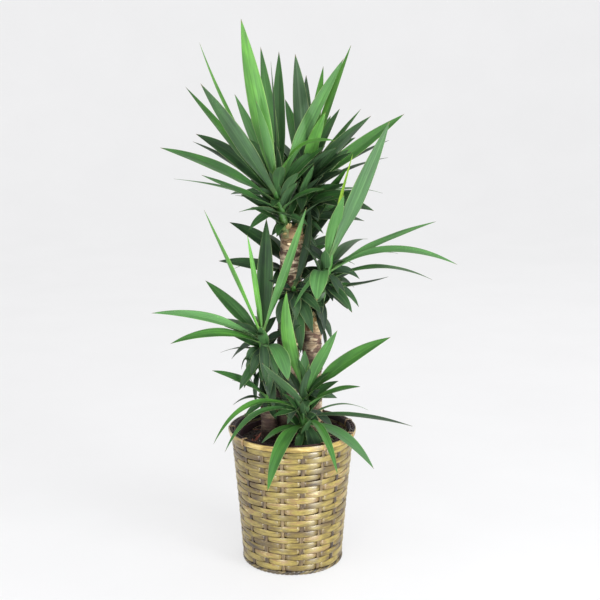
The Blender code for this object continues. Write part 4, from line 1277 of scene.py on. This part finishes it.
for number, (name, groups) in enumerate(INNER.items()):
    for level, (count, lengths, slopes, facing, tone) in enumerate(groups):
        seed = 110 + 10 * level + number
        ends = inner_leaves(SHOOTS[name], count, lengths, slopes, facing, seed)
        spread = np.random.default_rng(seed + 90).uniform(-0.08, 0.14, count)
        own = {"tone": tone + spread, "bloom": np.zeros(count)}
        title = name + ("_inner", "_upper", "_facing", "_right")[level]
        put_piece(title, cuticle, "leaf", [name], *blades(ends, own, seed + 70, stations=14, sides=12))
for number, (name, shoot) in enumerate(SHOOTS.items()):
    if name == "dry_leaf":
        continue
    tone, bloom = np.array([TONES[letter] for letter in shoot["tones"]]).T
    widest = np.array([0.66 if letter == "o" else 0.44 for letter in shoot["tones"]])
    made = blades(leaf_ends(shoot), {"tone": tone, "bloom": bloom}, 90 + number, widest=widest)
    put_piece(name + "_blades", cuticle, "leaf", [name], *made)

# %% [markdown]
# ## Stems
#
# Each head sits on a short green stem wrapped in the feet of its leaves. Its radius steps in along a coil,
# like a paper cone rolled up: the coil's phase is eight turns along the stem plus one around it, and the
# radius grows with the square of that phase before it drops.


# %% Stem surfaces
def stem(shoot, seed):
    """A tube by (ring, step round) from the root in the cane to the blunt bud."""
    root, crown = stem_ends(shoot)
    wide, narrow = (d * MM / 2 for d in shoot["diameters"])
    steps, sides = 60, 28
    share = np.linspace(0, 1.2, steps)[:, None]
    turn = circle(sides)[None, :]
    radii = [wide, wide * 0.96, (wide + narrow) / 2, narrow, narrow * 0.35]
    plain = np.interp(share, [0, 0.35, 0.7, 1.0, 1.2], radii)
    sheath = (8 * share + turn / (2 * np.pi)) % 1.0
    uneven = noise(together(np.cos(turn) * 2, np.sin(turn) * 2, share * 6), seed)
    reach = plain * (0.95 + 0.06 * sheath**2) + 0.3 * MM * uneven
    direction = unit(crown - root)
    points = off_line(root + share[..., None] * (crown - root), reach, turn, *square_to(direction))
    poles = np.stack([root, root + 1.2 * (crown - root) + direction * 2 * MM])
    marks = with_poles({"along": share + 0 * turn, "sheath": sheath})
    whole = np.concatenate([points.reshape(-1, 3), poles])
    return whole, *tube_faces(steps, sides), marks


# Leaf feet are smooth and firm: dull olive where old, green above.
sheath_skin, tree, shader = new_material("leaf_sheath_skin", IOR=1.45)
along = add(tree, "Attribute", out="Fac", attribute_name="along")
sheath = add(tree, "Attribute", out="Fac", attribute_name="sheath")
place = add(tree, "TexCoord", out="Object")
drawn_out = add(tree, "Mapping", {"Vector": place, "Scale": (500.0, 500.0, 40.0)})
line = add(tree, "TexNoise", {"Vector": drawn_out, "Scale": 1.0, "Detail": 2.0})
foot_stops = [(0.1, "#54542E"), (0.25, "#4A6A30"), (0.5, "#417030"), (1.0, "#437A32")]
colour = add(tree, "ValToRGB", {0: along}, stops=foot_stops)
shade = add(tree, "MapRange", {0: sheath, 1: 0.0, 2: 0.25, 3: 0.5, 4: 1.0})
streak = add(tree, "MapRange", {0: line, 1: 0.3, 2: 0.7, 3: 0.85, 4: 1.1})
for darker in (shade, streak):
    colour = add(tree, "VectorMath", {0: colour, 1: darker}, operation="MULTIPLY")
rough = add(tree, "MapRange", {0: line, 1: 0.3, 2: 0.7, 3: 0.42, 4: 0.58})
dress(tree, shader, colour, rough, line, 0.4, 0.4 * MM)
for number, (name, shoot) in enumerate(SHOOTS.items()):
    if name != "dry_leaf":
        put_piece(name + "_stem", sheath_skin, "leaf", [name], *stem(shoot, 120 + number))

# %% [markdown]
# ## Dry leaf remains
#
# Where a shoot leaves its cane, the stubs of old leaves stand round it: short, stiff scales, brown to straw.
# On the soil lies one curled reddish leaf, and a few dead leaves as thin as straw. All are blades again,
# made by the same function with other numbers.


# %% Withered leaf
def withered(name, stops):
    """Dry leaf: matt, brown, with fibres that stand out because the soft parts have shrunk."""
    made, tree, shader = new_material(name, IOR=1.4)
    place = add(tree, "UVMap", uv_map="UVMap")
    tone = add(tree, "Attribute", out="Fac", attribute_name="tone")
    along = add(tree, "Attribute", out="Fac", attribute_name="along")
    drawn_out = add(tree, "Mapping", {"Vector": place, "Scale": (700.0, 25.0, 1.0)})
    fibre = add(tree, "TexNoise", {"Vector": drawn_out, "Scale": 1.0, "Detail": 3.0})
    part = add(tree, "Math", {0: along, 1: 0.4, 2: tone}, operation="MULTIPLY_ADD")
    mixed = add(tree, "Math", {0: fibre, 1: 0.5, 2: part}, operation="MULTIPLY_ADD")
    colour = add(tree, "ValToRGB", {0: mixed}, stops=stops)
    rough = add(tree, "MapRange", {0: fibre, 1: 0.3, 2: 0.7, 3: 0.65, 4: 0.85})
    dress(tree, shader, colour, rough, fibre, 0.6, 0.4 * MM)
    return made


def stubs(shoot, count, seed):
    """Short blades round the lower part of a stem, leaning outwards and up."""
    random = np.random.default_rng(seed)
    root, crown = stem_ends(shoot)
    direction = unit(crown - root)
    across, other = square_to(direction)
    turn = (2 * np.pi * (np.arange(count) + random.uniform(-0.3, 0.3, count)) / count)[:, None]
    out = np.cos(turn) * across + np.sin(turn) * other
    wide = shoot["diameters"][0] / 2 * MM
    share = random.uniform(0.06, 0.3, (count, 1))
    roots = root + (crown - root) * share + out * wide * 0.7
    tall = random.uniform(10, 24, (count, 1)) * MM
    tips = roots + direction * tall + out * random.uniform(4, 13, (count, 1)) * MM
    arches = random.uniform(-2.5, -0.5, count) * MM
    return roots, tips, arches, random.uniform(9, 14, count) * MM, random.uniform(-25, 25, count)


STRAW = [(0.2, "#45362A"), (0.5, "#6E5C40"), (0.8, "#928055"), (1.0, "#B5A377")]
old_foot = withered("dried_leaf_feet", STRAW)
for number, (name, shoot) in enumerate(SHOOTS.items()):
    if name in ("dry_leaf", "leaves_side"):
        continue
    ends = stubs(shoot, 7, 140 + number)
    own = {"tone": np.random.default_rng(160 + number).uniform(0, 0.6, len(ends[0]))}
    made = blades(ends, own, 150 + number, stations=8, sides=12, ripple=0.8 * MM)
    put_piece(name + "_old_feet", old_foot, "dead_leaf", [name], *made)

# %% The dry leaf and the straw on the soil
RUST = [(0.2, "#34160F"), (0.5, "#5A2A20"), (0.8, "#82483A"), (1.0, "#A8715C")]
rust = withered("rusty_dry_leaf", RUST)
shoot = SHOOTS["dry_leaf"]
points, quads, triangles, marks = stem(shoot, 170)
marks = {"along": marks["along"], "tone": 0.15}
uv = points[:, [0, 2]]
put_piece("dry_leaf_stalk", rust, "dead_leaf", ["dry_leaf"], points, quads, triangles, marks, uv)
made = blades(leaf_ends(shoot), {"tone": [0.3]}, 171, thick=0.8 * MM, ripple=1.5 * MM)
put_piece("dry_leaf_blade", rust, "dead_leaf", ["dry_leaf"], *made)

# Straw on the soil: one end, the other end (right, back in cm), width in mm, and how far the other end is
# up in mm where it leans on a cane.
STRAWS = [
    ((-9.5, 6.5), (-4.4, 4.8), 3.4, 19),
    ((-7.4, 0.6), (-4.2, 2.2), 2.4, 0),
    ((-3.4, 5.9), (1.6, 7.9), 2.6, 0),
    ((6.0, 6.2), (9.4, 3.2), 2.8, 0),
    ((7.4, -2.2), (9.8, 1.4), 2.4, 0),
    ((-2.4, -8.2), (1.2, -9.8), 2.6, 0),
]
flat = np.array([[start, end] for start, end, *_ in STRAWS]) * CM
widths, lean = np.array([straw[2:] for straw in STRAWS]).T * MM
x, y = flat[..., 0], flat[..., 1]
level = ground_height(x, y) + 3.5 * MM
level[:, 1] += lean
roots, tips = together(x, y, level).transpose(1, 0, 2)
count = len(STRAWS)
ends = roots, tips, np.full(count, 3.0 * MM), widths, np.zeros(count)
made = blades(ends, {"tone": np.linspace(0.8, 1.1, count)}, 172, 14, 10, 0.7 * MM, 0.4 * MM)
put_piece("soil_straw", old_foot, "dead_leaf", ["soil"], *made)

# %% [markdown]
# ## Studio
#
# The plant stands in a light tent: white paper that curves up from the floor into walls all round, like a
# bowl, and glows evenly, so that no edge shows from any side. A big lamp at the right front and one above
# the front light the leaves, one stands behind and a weak one fills in from the left. Two small lamps near
# the floor are the windows whose reflections run down the lacquered basket as bright bands, the right one
# stronger.


# %% Floor and walls
def bowl():
    """A turned sheet: flat to 4.2 m, then a quarter ellipse up to the walls at 6.4 m."""
    sides = 96
    bend = np.linspace(0, np.pi / 2, 16)
    radius = np.concatenate([[0.6, 2.0], 4.2 + 2.2 * np.sin(bend), [6.4]])[:, None]
    height = np.concatenate([[0.0, 0.0], 2.2 * (1 - np.cos(bend)), [6.0]])[:, None]
    turn = circle(sides)[None, :]
    rings = around_axis(turn, radius, height - 0.2 * MM)
    points = np.concatenate([rings.reshape(-1, 3), [[0, 0, -0.2 * MM]]])
    quads = grid_cells(len(rings), sides)
    return points, quads, end_fan(0, sides, len(points) - 1)


glow = {"Emission_Color": "#FFFFFF", "Emission_Strength": 0.62}
backdrop, tree, shader = new_material("matt_studio_paper", IOR=1.4, Roughness=0.95, **glow)
place = add(tree, "TexCoord", out="Object")
tooth = add(tree, "TexNoise", {"Vector": place, "Scale": 3.0, "Detail": 3.0})
paper = add(tree, "ValToRGB", {0: tooth}, stops=[(0.3, "#8A8A8C"), (0.7, "#8E8E90")])
tree.links.new(paper, shader.inputs["Base Color"])
points, quads, triangles = bowl()
mesh = bpy.data.meshes.new("studio_floor")
mesh.from_pydata(points, [], quads[:, ::-1].tolist() + triangles[:, ::-1].tolist())
mesh.shade_smooth()
mesh.materials.append(backdrop)
floor = bpy.data.objects.new("studio_floor", mesh)
bpy.context.scene.collection.objects.link(floor)
print("points in the studio's sheet:", len(points))

# %% Lamps
# Place, width and height in metres, and power in watts.
LAMPS = {
    "key": ((2.6, -2.0, 2.2), (1.3, 1.3), 62),
    "top": ((0.2, -2.2, 3.6), (1.8, 1.8), 40),
    "back": ((1.6, 2.4, 3.0), (2.0, 2.0), 20),
    "window": ((1.35, -1.5, 0.24), (0.42, 0.42), 31),
    "far_window": ((-0.7, -1.9, 0.24), (0.3, 0.42), 18),
    "fill": ((-2.4, -1.3, 0.5), (0.9, 0.8), 14),
}
for name, (place, size, power) in LAMPS.items():
    lamp = bpy.data.lights.new(name, "AREA")
    lamp.shape = "RECTANGLE"
    lamp.energy, lamp.size, lamp.size_y = power, size[0], size[1]
    holder = bpy.data.objects.new(name, lamp)
    holder.location = place
    goal = Vector((0, 0, 0.1 if "window" in name else 0.55))
    holder.rotation_euler = (goal - holder.location).to_track_quat("-Z", "Y").to_euler()
    bpy.context.scene.collection.objects.link(holder)
sky = bpy.data.worlds.new("sky")
bpy.context.scene.world = sky
sky.use_nodes = True
sky.node_tree.nodes["Background"].inputs["Color"].default_value = linear("#FCFCFC")
sky.node_tree.nodes["Background"].inputs["Strength"].default_value = 0.5
bpy.context.scene.view_settings.view_transform = "Standard"
print("lamps:", len(LAMPS))
